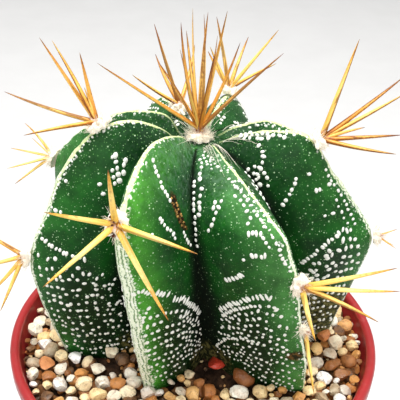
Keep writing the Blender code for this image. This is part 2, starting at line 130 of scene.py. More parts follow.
stem = {
    "centre": Vector((0, 4 * mm, 0)), "crownRadius": 5.2 * mm, "crownHeight": 57 * mm,
    # how far a flank swells out, as a share of its width
    "bulge": {("b", 1): 0.0, ("a", -1): 0.04, "usual": 0.11},
    # a groove is this much shallower where its ribs stand close, against one this wide in degrees
    "shallower": 0.2, "wideGroove": 45,
    # where a rib has its full form, and how its crest is rounded
    "formedPlace": 3, "crestRound": 0.8 * mm, "crestReach": 1.7 * mm,
    "waviness": 0.45 * mm, "waveSize": 7 * mm, "knobs": 0.42 * mm, "knobSize": 2.4 * mm, "knobReach": 3 * mm,
    "columns": 32, "rows": 132, "collar": 13 * mm, "gravelPlace": 9.75,
    # half width of the pale band along a crest in mm, young and old, the place where it starts to age,
    # and how many places it takes
    "band": {"a": (0.36, 1.5), "b": (0.19, 0.2), "c": (0.5, 0.8), "d": (0.45, 0.7), "usual": (0.36, 0.42)},
    "bandAges": (4.6, 0.8),
    # how much light green a flank has near its crest, set by how much light falls on it: partly the plant's
    # own green, partly painted light
    "paintedLight": {("a", 1): 1.15, ("b", -1): 0.74, ("b", 1): 0.3, ("c", 1): 0.2, ("d", -1): 0.2, "usual": 0.4},
    # old wounds as lines of (place, share of the flank), and how many places count as much as a whole flank
    "scars": {("a", 1): [(3.9, 0.53), (4.8, 0.81)], ("b", -1): [(8.7, 0.05), (8.75, 0.11)]},
    "scarWidth": 0.085, "scarStep": 2.4,
    "corkFoot": ("d", -1),
    # rings under the gravel: depth in mm, and the share of a rib's reach past the collar that is left
    "rootDepths": [(30, 0), (9.9, 0), (8.6, 0.4), (6, 0.8)],
}
# each rib: its bearings at the crown and at the foot and the shift of the groove after it, in degrees,
# and its crest as (reach, height over the rim) in mm, one point for each whole place from 1 to 10
ribs = {
    "a": (-24, -24, -8, [(9, 61.5), (17, 65.5), (25, 67), (33, 63.5), (39.4, 55.5), (39.6, 46.5),
                         (36.5, 33), (33.5, 19), (31, 8), (28.5, -2)]),
    "b": (26, 50, 0, [(8, 59), (15, 57.5), (22, 56), (30, 53), (35.6, 49.5), (37.2, 43.5),
                      (37.8, 36.5), (38.3, 22.5), (39, 10), (37.8, -2)]),
    "d": (73, 86, 0, [(10, 60), (17, 62.3), (24, 63), (28.3, 60.8), (33, 53.5), (38.2, 46.5),
                      (44.6, 35.5), (42.5, 22), (39.5, 9), (37.5, -2)]),
    "h": (114, 124, 0, [(9, 58.5), (17, 59), (23.5, 56.5), (29, 52.5), (33.5, 46.5), (37.5, 39.5),
                        (40, 31), (40.5, 20.5), (39, 9), (37, -2)]),
    "g": (163, 163, 0, [(9, 58), (17, 59), (25.5, 58), (32.5, 53.5), (37.5, 47.5), (41.5, 40),
                        (43.5, 30), (42, 19), (39, 8), (36.5, -2)]),
    "f": (202, 204, 0, [(9, 58), (14, 58.3), (21, 57.8), (28.5, 55.5), (35, 50.5), (40, 43),
                        (43.5, 32), (42, 20), (39, 8), (36.5, -2)]),
    "e": (246, 246, 0, [(9, 61.5), (17, 61), (24, 58.3), (31, 54), (37.8, 47.5), (42.5, 40.5),
                        (43, 31), (42, 20), (39, 8), (36.5, -2)]),
    "c": (289, 289, 0, [(10, 61.5), (17, 64.3), (24.5, 63.4), (30, 58.7), (34.7, 52), (37.5, 45),
                        (43.2, 30.5), (42, 18), (39.5, 8), (36.5, -2)]),
}
grooveLine = [(8, 56.5), (12, 55), (16, 52.5), (19.5, 48.5), (22, 43.5), (23.2, 37.5),
              (22.8, 29.5), (20.5, 19), (18, 8), (15, -2)]
ribNames = list(ribs)
lastPlace = len(grooveLine)


def outlinePoints(outline):
    start = Vector((stem["crownRadius"], rim + stem["crownHeight"]))
    return [start] + [Vector((reach * mm, rim + height * mm)) for reach, height in outline]


crestLines = {name: outlinePoints(rib[-1]) for name, rib in ribs.items()}
grooveLinePoints = outlinePoints(grooveLine)


def curveAt(points, place):  # a smooth curve through the points, which are at the whole places
    index = min(int(place), len(points) - 2)
    share = place - index
    before, start = points[max(index - 1, 0)], points[index]
    end, after = points[index + 1], points[min(index + 2, len(points) - 1)]
    return 0.5 * (2 * start + (end - before) * share + (2 * before - 5 * start + 4 * end - after) * share ** 2
                  + (3 * start - before - 3 * end + after) * share ** 3)


def formed(place):  # 0 at the crown, where the ribs start, and 1 where they have their full form
    return min(place / stem["formedPlace"], 1)


def ribBearing(rib, place):
    crown, foot = ribs[rib][:2]
    return math.radians(crown + (foot - crown) * (place / lastPlace) ** 2)


def aroundAxis(reach, bearing, height):
    return stem["centre"] + Vector((reach * math.sin(bearing), -reach * math.cos(bearing), height))


@lru_cache(maxsize=None)
def crestAt(rib, place):
    reach, height = curveAt(crestLines[rib], place)
    return aroundAxis(reach, ribBearing(rib, place), height)


@lru_cache(maxsize=None)
def grooveAt(rib, side, place):
    i = ribNames.index(rib)
    left, right = (rib, ribNames[(i + 1) % 8]) if side > 0 else (ribNames[i - 1], rib)
    reach, height = curveAt(grooveLinePoints, place)
    first, second = ribBearing(left, place), ribBearing(right, place)
    second += math.tau if second < first else 0
    narrow = 1 - (second - first) / math.radians(stem["wideGroove"])
    reach *= 1 + stem["shallower"] * narrow * formed(place)
    shift = math.radians(ribs[left][2]) * (1 - (place / lastPlace) ** 2)
    return aroundAxis(reach, (first + second) / 2 + shift, height)


def flankPoint(rib, side, place, share):  # share runs from 0 on the crest to 1 in the groove
    crest, groove = crestAt(rib, place), grooveAt(rib, side, place)
    slope = groove - crest
    run = Vector((slope.x, slope.y, 0))
    across = run.normalized()
    outward = Vector((across.y, -across.x, 0))
    if outward.dot(crest - stem["centre"]) < 0:
        outward.negate()
    fromCrest = share * run.length
    near = 1 - min(fromCrest / stem["crestReach"], 1)
    swell = own(stem["bulge"], (rib, side)) * run.length * math.sin(math.pi * share)
    swell += stem["crestRound"] * math.sqrt(1 - near ** 2) * (1 - share)
    point = crest + slope * share + outward * swell * formed(place)
    knob = noise.noise(point / stem["knobSize"]) * stem["knobs"] * max(1 - fromCrest / stem["knobReach"], 0)
    point += (crest - stem["centre"]).normalized() * knob * formed(place)
    wave = noise.noise(point / stem["waveSize"]) * stem["waviness"]
    return point + outward * wave * math.sin(math.pi * min(share + 0.08, 1)) * formed(place)


def frameAt(place, upward, outward):  # X to the side, Y up towards the crown, Z out of the skin
    made = Matrix((upward.cross(outward), upward, outward)).transposed().to_4x4()
    made.translation = place
    return made


def flankFrame(rib, side, place, share):
    step = 0.02
    here = flankPoint(rib, side, place, share)
    upward = flankPoint(rib, side, place - step, share) - here
    across = flankPoint(rib, side, place, min(share + step, 1)) - flankPoint(rib, side, place, share - step)
    outward = (across * side).cross(upward).normalized()
    upward = (upward - outward * upward.dot(outward)).normalized()
    return frameAt(here, upward, outward)


def areoleFrame(rib, place):
    step = 0.3
    upward = (crestAt(rib, place - step) - crestAt(rib, place + step)).normalized()
    bearing = ribBearing(rib, place)
    side = Vector((math.cos(bearing), math.sin(bearing), 0))
    outward = side.cross(upward).normalized()
    return frameAt(crestAt(rib, place) + outward * gap, upward, outward)


# material helpers and shared effects

def hue(*rgb):  # a colour as the eye reads it, 0 to 255, in Blender's own values
    return tuple(((v / 255 + 0.055) / 1.055) ** 2.4 if v > 10 else v / 3294.6 for v in rgb) + (1,)


def put(tree, kind, sockets=None, **settings):  # a node, with a value or a link for each socket
    made = tree.nodes.new(kind)
    for name, value in settings.items():
        setattr(made, name, value)
    for key, value in (sockets or {}).items():
        if isinstance(value, bpy.types.NodeSocket):
            tree.links.new(value, made.inputs[key])
        else:
            made.inputs[key].default_value = value
    return made


def tag(tree, name):
    return put(tree, "ShaderNodeAttribute", attribute_name=name).outputs["Fac"]


def tags(tree, *names):
    return [tag(tree, name) for name in names]


def treeOf(*values):  # the node tree of the sockets among these values
    return next(value.id_data for value in values if isinstance(value, bpy.types.NodeSocket))


def mixed(factor, first, second):
    tree = treeOf(factor, first, second)
    return put(tree, "ShaderNodeMix", {0: factor, 6: first, 7: second}, data_type="RGBA").outputs[2]


def calc(operation, first, second=0):
    tree = treeOf(first, second)
    return put(tree, "ShaderNodeMath", {0: first, 1: second}, operation=operation).outputs[0]


def times(*values):
    return reduce(lambda first, second: calc("MULTIPLY", first, second), values)


def plus(*values):
    return reduce(lambda first, second: calc("ADD", first, second), values)


def sway(value, reach):  # from half the reach below 0 to half of it above
    return times(calc("SUBTRACT", value, 0.5), reach)


def between(value, low, high, start=0, end=1):  # a smooth step from start at low to end at high
    sockets = {"Value": value, "From Min": low, "From Max": high, "To Min": start, "To Max": end}
    return put(treeOf(value), "ShaderNodeMapRange", sockets, interpolation_type="SMOOTHSTEP").outputs[0]


def ramp(factor, stops):
    made = put(treeOf(factor), "ShaderNodeValToRGB", {0: factor})
    points = made.color_ramp.elements
    while len(points) < len(stops):
        points.new(0.5)
    for point, (place, colour) in zip(points, stops):
        point.position, point.color = place, colour
    return made.outputs[0]


def grain(spot, scale, detail, roughness=0.5):
    sockets = {"Vector": spot, "Scale": scale, "Detail": detail, "Roughness": roughness}
    return put(treeOf(spot), "ShaderNodeTexNoise", sockets).outputs[0]


def newEffect(name, **numbers):  # a shared effect: coordinates and some numbers in, a mask out
    tree = bpy.data.node_groups.new(name, "ShaderNodeTree")
    tree.interface.new_socket("Vector", in_out="INPUT", socket_type="NodeSocketVector")
    for label, value in numbers.items():
        socket = tree.interface.new_socket(label, in_out="INPUT", socket_type="NodeSocketFloat")
        socket.default_value = value
    tree.interface.new_socket("Mask", in_out="OUTPUT", socket_type="NodeSocketFloat")
    return tree, tree.nodes.new("NodeGroupInput").outputs, tree.nodes.new("NodeGroupOutput").inputs["Mask"]


def makePatches():  # soft uneven patches, as on stone, skin and plastic
    tree, given, result = newEffect("patches", Scale=100, Low=0.4, High=0.6)
    uneven = grain(given["Vector"], given["Scale"], 4, 0.6)
    tree.links.new(between(uneven, given["Low"], given["High"]), result)
    return tree


def makeSpecks():  # small round dots, a share of which is left out
    tree, given, result = newEffect("specks", Scale=900, Size=0.25, Share=0.5)
    cells = put(tree, "ShaderNodeTexVoronoi", {"Vector": given["Vector"], "Scale": given["Scale"]})
    drawn = put(tree, "ShaderNodeSeparateColor", {0: cells.outputs["Color"]}).outputs[0]
    size = times(given["Size"], plus(0.5, drawn))
    dot = calc("LESS_THAN", cells.outputs["Distance"], size)
    kept = calc("LESS_THAN", drawn, given["Share"])
    tree.links.new(times(dot, kept), result)
    return tree


patches = makePatches()
specks = makeSpecks()


def patchMask(spot, scale, low, high):
    sockets = {"Vector": spot, "Scale": scale, "Low": low, "High": high}
    return put(treeOf(spot), "ShaderNodeGroup", sockets, node_tree=patches).outputs["Mask"]


def speckMask(spot, scale, size, share):
    sockets = {"Vector": spot, "Scale": scale, "Size": size, "Share": share}
    return put(treeOf(spot), "ShaderNodeGroup", sockets, node_tree=specks).outputs["Mask"]


def newMaterial(name, **shaderValues):  # the material, its node tree and the object's own coordinates
    material = bpy.data.materials.new(name)
    material.use_nodes = True
    tree = material.node_tree
    for key, value in shaderValues.items():
        tree.nodes["Principled BSDF"].inputs[key.replace("_", " ")].default_value = value
    return material, tree, put(tree, "ShaderNodeTexCoord").outputs["Object"]


def finished(material, colour, relief=None, roughness=None):  # relief is (height, strength, depth)
    tree = material.node_tree
    sockets = tree.nodes["Principled BSDF"].inputs
    tree.links.new(colour, sockets["Base Color"])
    if roughness is not None:
        tree.links.new(roughness, sockets["Roughness"])
    if relief is not None:
        height, strength, depth = relief
        bump = put(tree, "ShaderNodeBump", {"Height": height, "Strength": strength, "Distance": depth})
        tree.links.new(bump.outputs[0], sockets["Normal"])
    return material


print("helpers ready")


# stem: a fine skin laid over the eight ribs

flesh = {
    "deep": hue(6, 52, 12), "plain": hue(17, 90, 21), "mottle": hue(8, 44, 18),
    # lightInShade and lightInSun: one light green, painted as in shade and as in sun; the grey bloom is
    # partly a painted sheen
    "lightInShade": hue(88, 154, 78), "lightInSun": hue(76, 158, 46), "bloomAndSheen": hue(138, 172, 150),
    # young and groove are painted shade: darker near the crown on dim flanks, and nearly black in the grooves
    "young": hue(4, 38, 11), "underFelt": hue(4, 28, 8), "groove": hue(2, 9, 3),
    "frost": hue(122, 184, 106), "pinpricks": hue(188, 222, 176),
    "footCracks": hue(26, 32, 12), "footCork": hue(112, 108, 60),
    "woundCracks": hue(22, 14, 6), "woundCork": hue(104, 70, 32),
    "youngBand": hue(212, 224, 164), "oldBand": hue(234, 243, 216), "bandGrain": hue(118, 156, 86),
    "bandLines": hue(62, 116, 42), "crumbs": hue(246, 250, 236),
}


def greenSkin(tree, blotch, mottle, fine):
    place, share, edge, paintedLight = tags(tree, "place", "share", "fromCrest", "paintedLight")
    skin = mixed(blotch, flesh["deep"], flesh["plain"])
    # light green towards the crest, more of it and sunnier on the flanks with more painted light; the lit and
    # shaded greens are painted light
    crestGreenInPaintedLight = times(between(edge, 0.5, 12, 1, 0), between(place, 1, 4, 0.3), paintedLight, between(blotch, 0, 1, 0.55))
    paintedLitGreen = mixed(between(paintedLight, 0.7, 1.1), flesh["lightInShade"], flesh["lightInSun"])
    skin = mixed(crestGreenInPaintedLight, skin, paintedLitGreen)
    # a grey bloom on the young part, scaled by the flank's painted light, so partly a painted sheen
    bloomAndSheen = times(between(place, 1, 5.5, 0.4, 0), between(fine, 0.3, 0.75), calc("MAXIMUM", paintedLight, 0.3))
    skin = mixed(bloomAndSheen, skin, flesh["bloomAndSheen"])
    skin = mixed(times(mottle, 0.3), skin, flesh["mottle"])
    # painted shade: darker near the crown on the flanks that get little light
    young = times(between(place, 2, 5, 0.6, 0), between(paintedLight, 0.2, 0.8, 1, 0))
    skin = mixed(young, skin, flesh["young"])
    # dark under the fields of felt
    low = times(between(place, 6.2, 8.2), between(share, 0.1, 0.36), 0.86)
    return mixed(low, skin, flesh["underFelt"])


def corked(tree, spot, skin, fine):  # cork at the foot and over old wounds
    place, share, corky, scar = tags(tree, "place", "share", "cork", "scar")
    crust = patchMask(spot, 900, 0.45, 0.62)
    lower = plus(place, times(corky, 1.1))
    across = calc("MAXIMUM", between(share, 0.5, 0.85, 0.15), times(corky, 0.8))
    foot = plus(times(between(lower, 8.6, 9.6), across), times(fine, 0.6))
    cork = mixed(crust, flesh["footCracks"], flesh["footCork"])
    skin = mixed(between(foot, 0.7, 1.1, 0, 0.9), skin, cork)
    wound = plus(scar, times(fine, 0.7))
    cork = mixed(crust, flesh["woundCracks"], flesh["woundCork"])
    return mixed(between(wound, 0.6, 0.95, 0, 0.92), skin, cork)


def banded(tree, spot, skin, fine, mottle):  # the pale band along the crest, with lines where it is old
    place, edge, bandShare = tags(tree, "place", "fromCrest", "band")
    ragged = plus(bandShare, sway(fine, 1.8), sway(mottle, 0.35))
    band = times(between(ragged, 0.7, 1.25, 1, 0), between(place, 0.3, 1.4, 0.3))
    wiggle = times(plus(fine, mottle), 0.45)
    ripple = calc("SINE", times(plus(edge, wiggle), 9.5))
    lines = times(between(ripple, 0, 0.9), between(place, 4.6, 5.6, 0, 0.8))
    grit = times(speckMask(spot, 1500, 0.4, 0.6), between(place, 0.5, 6, 0.65, 0.4))
    pale = mixed(between(place, 3, 7), flesh["youngBand"], flesh["oldBand"])
    pale = mixed(grit, pale, flesh["bandGrain"])
    pale = mixed(lines, pale, flesh["bandLines"])
    skin = mixed(band, skin, pale)
    # white crumbs that fray its edges
    fringe = calc("MAXIMUM", between(bandShare, 0.9, 2, 1, 0), between(edge, 0.5, 1.7, 1, 0))
    crumbs = times(speckMask(spot, 1250, 0.42, 0.7), fringe, between(place, 1, 2.5, 0.2, 0.85))
    return mixed(crumbs, skin, flesh["crumbs"]), times(lines, band)


def fleshMaterial():
    material, tree, spot = newMaterial("cactusFlesh", Specular_IOR_Level=0.14)
    place, share, edge = tags(tree, "place", "share", "fromCrest")
    blotch = patchMask(spot, 95, 0.34, 0.66)
    mottle = patchMask(spot, 420, 0.32, 0.68)
    fine = grain(spot, 1100, 3)
    skin = greenSkin(tree, blotch, mottle, fine)
    # painted shade: nearly black in the groove, wider lower down
    depth = plus(share, between(place, 5.5, 8.5, 0, 0.1))
    groove = between(depth, 0.8, 1, 0, 0.96)
    skin = mixed(groove, skin, flesh["groove"])
    # pale pinpricks all over, with brighter ones between, dimmed in the groove's painted shade
    dust = speckMask(spot, 1900, 0.24, 0.7)
    dots = speckMask(spot, 1000, 0.14, 0.95)
    lit = calc("SUBTRACT", 1, times(groove, 0.8))
    skin = mixed(times(dust, between(edge, 1, 9, 0.6, 0.3), lit), skin, flesh["frost"])
    skin = mixed(times(dots, 0.75, lit), skin, flesh["pinpricks"])
    skin = corked(tree, spot, skin, fine)
    skin, lines = banded(tree, spot, skin, fine, mottle)
    height = plus(fine, times(dots, 0.5), times(lines, -0.8), times(mottle, 0.5))
    shine = calc("MAXIMUM", between(fine, 0.3, 0.7, 0.34, 0.55), between(share, 0.6, 0.8))
    return finished(material, skin, (height, 0.4, 0.25 * mm), shine)


def scarAt(rib, side, place, share):  # 1 along the line of an old wound, 0 away from it
    if (rib, side) not in stem["scars"]:
        return 0.0
    start, end = (Vector((a / stem["scarStep"], b)) for a, b in stem["scars"][rib, side])
    here = Vector((place / stem["scarStep"], share))
    along = within((here - start).dot(end - start) / (end - start).length_squared)
    return max(1 - (here - start.lerp(end, along)).length / stem["scarWidth"], 0)


def skinTags(rib, side, place, share):
    edge = share * (crestAt(rib, place) - grooveAt(rib, side, place)).length / mm
    young, old = own(stem["band"], rib)
    start, span = stem["bandAges"]
    halfBand = young + (old - young) * within((place - start) / span)
    return {"place": place, "share": share, "fromCrest": edge, "band": edge / halfBand,
            "paintedLight": own(stem["paintedLight"], (rib, side)), "scar": scarAt(rib, side, place, share),
            "cork": float((rib, side) == stem["corkFoot"])}


def underGravel(point, depth, left):  # here the ribs run in to the root collar
    flat = (point - stem["centre"]) * Vector((1, 1, 0))
    reach = stem["collar"] + left * max(flat.length - stem["collar"], 0)
    return stem["centre"] + flat.normalized() * reach + Vector((0, 0, rim - depth * mm))


def makeStem():
    deselectAll()
    bpy.ops.mesh.primitive_grid_add(x_subdivisions=8 * stem["columns"], y_subdivisions=stem["rows"], size=1)
    piece = bpy.context.object
    roots = stem["rootDepths"]
    skin = []
    for vertex in piece.data.vertices:
        turn = (vertex.co.x + 0.5) * 8
        row = round((vertex.co.y + 0.5) * stem["rows"])
        rib = ribNames[min(int(turn + 1e-4), 7)]
        across = 2 * (turn - ribNames.index(rib)) - 1
        side = 1 if across > 0 else -1
        share = min(abs(across) ** 1.5, 1)  # more columns near the crest
        place = round(lastPlace * (1 - max(row - len(roots), 0) / (stem["rows"] - len(roots))), 5)
        vertex.co = flankPoint(rib, side, place, share)
        if row < len(roots):
            vertex.co = underGravel(vertex.co, *roots[row])
        skin.append(skinTags(rib, side, place, share))
    for name in skin[0]:
        addTag(piece.data, name, [point[name] for point in skin])
    bpy.ops.object.mode_set(mode="EDIT")
    bpy.ops.mesh.select_all(action="SELECT")
    bpy.ops.mesh.remove_doubles(threshold=0.004 * mm)
    bpy.ops.mesh.select_all(action="DESELECT")
    bpy.ops.mesh.select_non_manifold()
    bpy.ops.mesh.fill_holes(sides=0)
    bpy.ops.object.mode_set(mode="OBJECT")
    smooth(piece)
    settle(piece, "stemSkin", fleshMaterial(), ["cactus_body"])
    return len(piece.data.polygons)


print("stem:", makeStem(), "faces")


# modelling steps that several pieces share

def startEdit(piece):
    pickOnly(piece)
    bpy.ops.object.mode_set(mode="EDIT")
    bpy.ops.mesh.select_all(action="SELECT")


def pullUp(start, steps):  # extrude the selected face through (height, radius) steps
    low, wide = start
    for height, radius in steps:
        bpy.ops.mesh.extrude_region_move(TRANSFORM_OT_translate={"value": (0, 0, height - low)})
        bpy.ops.transform.resize(value=(radius / wide, radius / wide, 1), center_override=(0, 0, height))
        low, wide = height, radius


def turnedPiece(sides, start, steps):  # a disc pulled up into a round closed form
    deselectAll()
    low, wide = start
    bpy.ops.mesh.primitive_circle_add(vertices=sides, radius=wide, fill_type="NGON", location=(0, 0, low))
    piece = bpy.context.object
    bpy.ops.object.transform_apply(location=True)
    startEdit(piece)
    pullUp(start, steps)
    bpy.ops.mesh.select_all(action="SELECT")
    bpy.ops.mesh.normals_make_consistent(inside=False)
    bpy.ops.object.mode_set(mode="OBJECT")
    return piece


def strands(paths, thickness):  # fine threads, each of which thins to a quarter along its path
    curve = bpy.data.curves.new("strands", "CURVE")
    curve.dimensions, curve.use_fill_caps = "3D", True
    curve.bevel_depth, curve.bevel_resolution = thickness, 0
    for path in paths:
        line = curve.splines.new("POLY")
        line.points.add(len(path) - 1)
        for i, (point, spot) in enumerate(zip(line.points, path)):
            point.co = (*spot, 1)
            point.radius = 1 - 0.75 * i / (len(path) - 1)
    piece = bpy.data.objects.new("strands", curve)
    scene.collection.objects.link(piece)
    pickOnly(piece)
    bpy.ops.object.convert(target="MESH")
    return bpy.context.object


# flecks: small pads of white felt, in rows over the flanks

flecks = {
    "seed": 3, "height": 0.22 * mm, "size": (0.8, 1.15), "stretch": (0.82, 1.22), "lean": 0.2,
    "jitter": 0.13 * mm, "missing": 0.03, "missingInField": 0.08,
    # how far the usual rows stray, in places and in share of the flank, and the usual field in places
    "stray": (0.15, 0.04), "fieldStray": 0.1,
    # a pad of height and radius 1, as (height, radius)
    "sides": 8, "foot": (-0.7, 0.9), "form": [(0, 1), (0.75, 0.72), (1, 0.34)],
    # distance between the flecks of a field in mm, how much closer they are in its lowest row,
    # and how much smaller in the groove, from this share of the flank on
    "fieldSpacing": 1.85, "closingUp": 0.5, "shrink": 0.35, "shrinkFrom": 0.6,
    # the field of felt at the foot of a flank: its rows, the size of its flecks and how they stray
    "fieldRows": {("c", 1): 14, ("b", -1): 13, ("d", -1): 13, "usual": 11},
    "fieldSize": {("b", -1): 0.86, ("d", -1): 1.14, "usual": 1},
    "fieldJitter": {("a", 1): 0.2 * mm, ("b", -1): 0.24 * mm, ("c", 1): 0.42 * mm, "usual": 0.34 * mm},
    # half width along the row and half length across it, in mm
    "large": (0.64, 0.64), "middle": (0.53, 0.53), "small": (0.42, 0.44), "tiny": (0.31, 0.34),
    "dash": (0.42, 0.9), "shortDash": (0.46, 0.68), "brown": (0.27, 0.3),
}
# each row: kind, distance between flecks in mm, and the way it takes as (place, share of the flank)
grooveColumn = ("middle", 1.5, [(2.4, 0.84), (3.2, 0.88), (4.2, 0.92), (5.2, 0.94)])
hiddenFlank = [grooveColumn, ("middle", 1.5, [(3.2, 0.6), (4.1, 0.75)])]
fleckRows = {
    ("a", -1): hiddenFlank,
    ("b", 1): hiddenFlank,
    ("e", 1): [grooveColumn],
    ("c", 1): [
        ("large", 1.5, [(3.07, 0.4), (3.35, 0.52), (3.66, 0.64), (3.95, 0.73)]),
        ("large", 1.5, [(3.07, 0.57), (3.6, 0.74)]),
        ("middle", 1.6, [(3.3, 0.42), (3.66, 0.55), (4.1, 0.7)]),
        ("middle", 2.2, [(4.33, 0.51), (4.56, 0.61)]),
        ("middle", 3, [(4.93, 0.11)]),
        ("middle", 1.5, [(6.02, 0.1), (5.95, 0.2)]),
        ("tiny", 1.3, [(1.5, 0.045), (6.4, 0.045)]),
        ("shortDash", 1.05, [(6.57, 0.07), (6.65, 0.18), (6.72, 0.39), (6.77, 0.6)])],
    ("a", 1): [
        ("middle", 1.25, [(3.3, 0.04), (3.56, 0.18), (3.86, 0.36), (4.1, 0.48)]),
        ("brown", 0.75, [(4.0, 0.5), (4.36, 0.65), (4.6, 0.76)]),
        ("brown", 0.8, [(3.9, 0.56), (4.3, 0.7), (4.75, 0.82)]),
        ("brown", 0.8, [(4.1, 0.53), (4.7, 0.74)]),
        ("brown", 0.9, [(4.05, 0.6), (4.5, 0.75)]),
        ("middle", 1.3, [(4.95, 0.78), (5.5, 0.91)]),
        ("middle", 1.3, [(4.61, 0.38), (4.93, 0.56), (5.24, 0.66)]),
        ("middle", 3, [(5.12, 0.33)]),
        ("dash", 1.05, [(6.83, 0.05), (6.74, 0.14), (6.84, 0.3), (6.9, 0.46)]),
        ("middle", 1.6, [(7.18, 0.2), (7.35, 0.13), (7.6, 0.09)]),
        ("dash", 1.1, [(7.1, 0.52), (7.2, 0.65), (7.6, 0.82), (8.1, 0.95)])],
    ("b", -1): [
        ("tiny", 1.0, [(1.0, 0.5), (1.5, 0.42), (2.0, 0.44)]),
        ("small", 1.3, [(1.2, 0.66), (1.6, 0.56), (1.95, 0.52)]),
        ("tiny", 1.1, [(1.3, 0.34), (1.9, 0.3)]),
        ("small", 1.3, [(1.4, 0.75), (2.0, 0.68)]),
        ("large", 1.45, [(2.17, 0.8), (3.03, 0.78), (3.52, 0.84), (4.3, 0.9)]),
        ("middle", 1.4, [(2.5, 0.92), (3.04, 0.96), (3.42, 0.96), (4.36, 0.96), (5.7, 0.97)]),
        ("middle", 1.5, [(3.45, 0.46), (3.78, 0.56), (4.16, 0.64), (4.73, 0.76)]),
        ("middle", 1.4, [(3.5, 0.56), (3.9, 0.66)]),
        ("small", 1.5, [(1.8, 0.24), (2.33, 0.18), (2.97, 0.11), (3.53, 0.08), (4.24, 0.09),
                        (5.24, 0.07), (6.3, 0.05)]),
        ("small", 1.6, [(3.21, 0.22), (3.66, 0.16), (4.22, 0.19), (4.34, 0.3)]),
        ("tiny", 1.3, [(2.6, 0.12), (6.4, 0.03)]),
        ("shortDash", 0.95, [(4.68, 0.29), (4.8, 0.14)]),
        ("small", 1.3, [(4.9, 0.18), (5.43, 0.13)]),
        ("dash", 1.05, [(5.6, 0.34), (5.66, 0.17)]),
        ("middle", 3, [(5.75, 0.42)]),
        ("dash", 1.05, [(6.72, 0.66), (6.42, 0.46)]),
        ("dash", 1.1, [(7.75, 0.78), (7.43, 0.62), (7.24, 0.42), (7.2, 0.28), (7.3, 0.18)]),
        ("shortDash", 1.1, [(7.95, 0.77), (7.6, 0.61), (7.44, 0.42), (7.42, 0.28), (7.55, 0.15)]),
        ("small", 1.1, [(9.1, 0.85), (8.6, 0.72), (8.42, 0.55), (8.5, 0.4)])],
    ("d", -1): [
        ("middle", 1.5, [(1.3, 0.24), (1.8, 0.22), (2.3, 0.16)]),
        ("middle", 1.4, [(1.07, 0.12), (1.87, 0.09), (2.67, 0.1)]),
        ("middle", 1.5, [(1.9, 0.36), (2.24, 0.44), (2.76, 0.7), (2.94, 0.84), (3.16, 0.95), (3.75, 0.96)]),
        ("middle", 1.5, [(2.5, 0.86), (3.0, 0.78), (3.5, 0.84), (3.9, 0.88)]),
        ("middle", 1.6, [(2.6, 0.95), (3.3, 0.9)]),
        ("middle", 1.5, [(4.2, 0.48), (4.45, 0.6), (4.65, 0.75), (4.9, 0.84)]),
        ("middle", 3, [(4.46, 0.31)]),
        ("shortDash", 1, [(5.0, 0.34), (5.06, 0.26)]),
        ("middle", 3, [(5.15, 0.14)]),
        ("middle", 2, [(5.94, 0.39), (6.03, 0.27)]),
        ("small", 1.5, [(4.75, 0.08), (5.45, 0.08), (6.05, 0.1), (6.6, 0.13)]),
        ("small", 1.7, [(5.5, 0.16), (6.4, 0.2)]),
        ("shortDash", 1.15, [(7.15, 0.76), (6.82, 0.62), (6.62, 0.48), (6.5, 0.3), (6.6, 0.18)])],
    # the flanks that face away: a column in the groove, a row by the crest and a few groups between
    "usual": [
        ("middle", 1.5, [(2.2, 0.84), (3.2, 0.88), (4.2, 0.92), (5.2, 0.94)]),
        ("middle", 1.5, [(2.6, 0.76), (3.2, 0.8), (4, 0.85)]),
        ("small", 2.1, [(1.3, 0.22), (2.6, 0.14), (4.1, 0.13), (5.9, 0.09)]),
        ("small", 2, [(3.2, 0.27), (4.3, 0.23), (5.4, 0.15)]),
        ("middle", 1.4, [(1.2, 0.6), (1.7, 0.45)]),
        ("middle", 1.5, [(3.3, 0.42), (4, 0.6), (4.7, 0.78)]),
        ("middle", 1.4, [(4.9, 0.36), (5.3, 0.55)]),
        ("dash", 1, [(5.7, 0.3), (5.7, 0.42)])],
}
# each field: its topmost and lowest row at the foot of the flank
fleckFields = {
    ("c", 1): ([(6.9, 0.1), (6.92, 0.36), (6.95, 0.6), (7.5, 0.88)],
               [(9.9, 0.06), (9.85, 0.36), (9.7, 0.64), (9.5, 0.88)]),
    ("a", 1): ([(7.45, 0.09), (7.42, 0.4), (7.5, 0.62), (8.3, 0.96)],
               [(9.7, 0.08), (9.5, 0.35), (9.3, 0.62), (9.5, 0.95)]),
    ("b", -1): ([(7.75, 0.1), (7.56, 0.36), (7.75, 0.6), (8.15, 0.8)],
                [(10.1, 0.06), (9.7, 0.36), (9.25, 0.62), (9.3, 0.85)]),
    ("d", -1): ([(6.85, 0.12), (6.72, 0.34), (6.95, 0.56), (7.5, 0.78)],
                [(9.5, 0.05), (9.3, 0.3), (9.3, 0.55), (9.5, 0.8)]),
    "usual": ([(6.9, 0.07), (6.7, 0.35), (6.8, 0.58), (7.4, 0.88)],
              [(9.6, 0.07), (9.35, 0.35), (9.25, 0.6), (9.45, 0.9)]),
}


def usualRows(draw):  # the usual rows and field, a little displaced, with dashes along the field's top
    far, wide = flecks["stray"]

    def near(place, share):
        return place + draw.uniform(-far, far), within(share + draw.uniform(-wide, wide), 0.06, 0.96)

    rows = [(kind, spacing, [near(*spot) for spot in way]) for kind, spacing, way in fleckRows["usual"]]
    top, low = fleckFields["usual"]
    shift = draw.uniform(-flecks["fieldStray"], flecks["fieldStray"])
    top = [near(place + shift, share) for place, share in top]
    rows.append(("dash", 1.15, top))
    return rows, ([(place + 0.22, share) for place, share in top], [near(*spot) for spot in low])


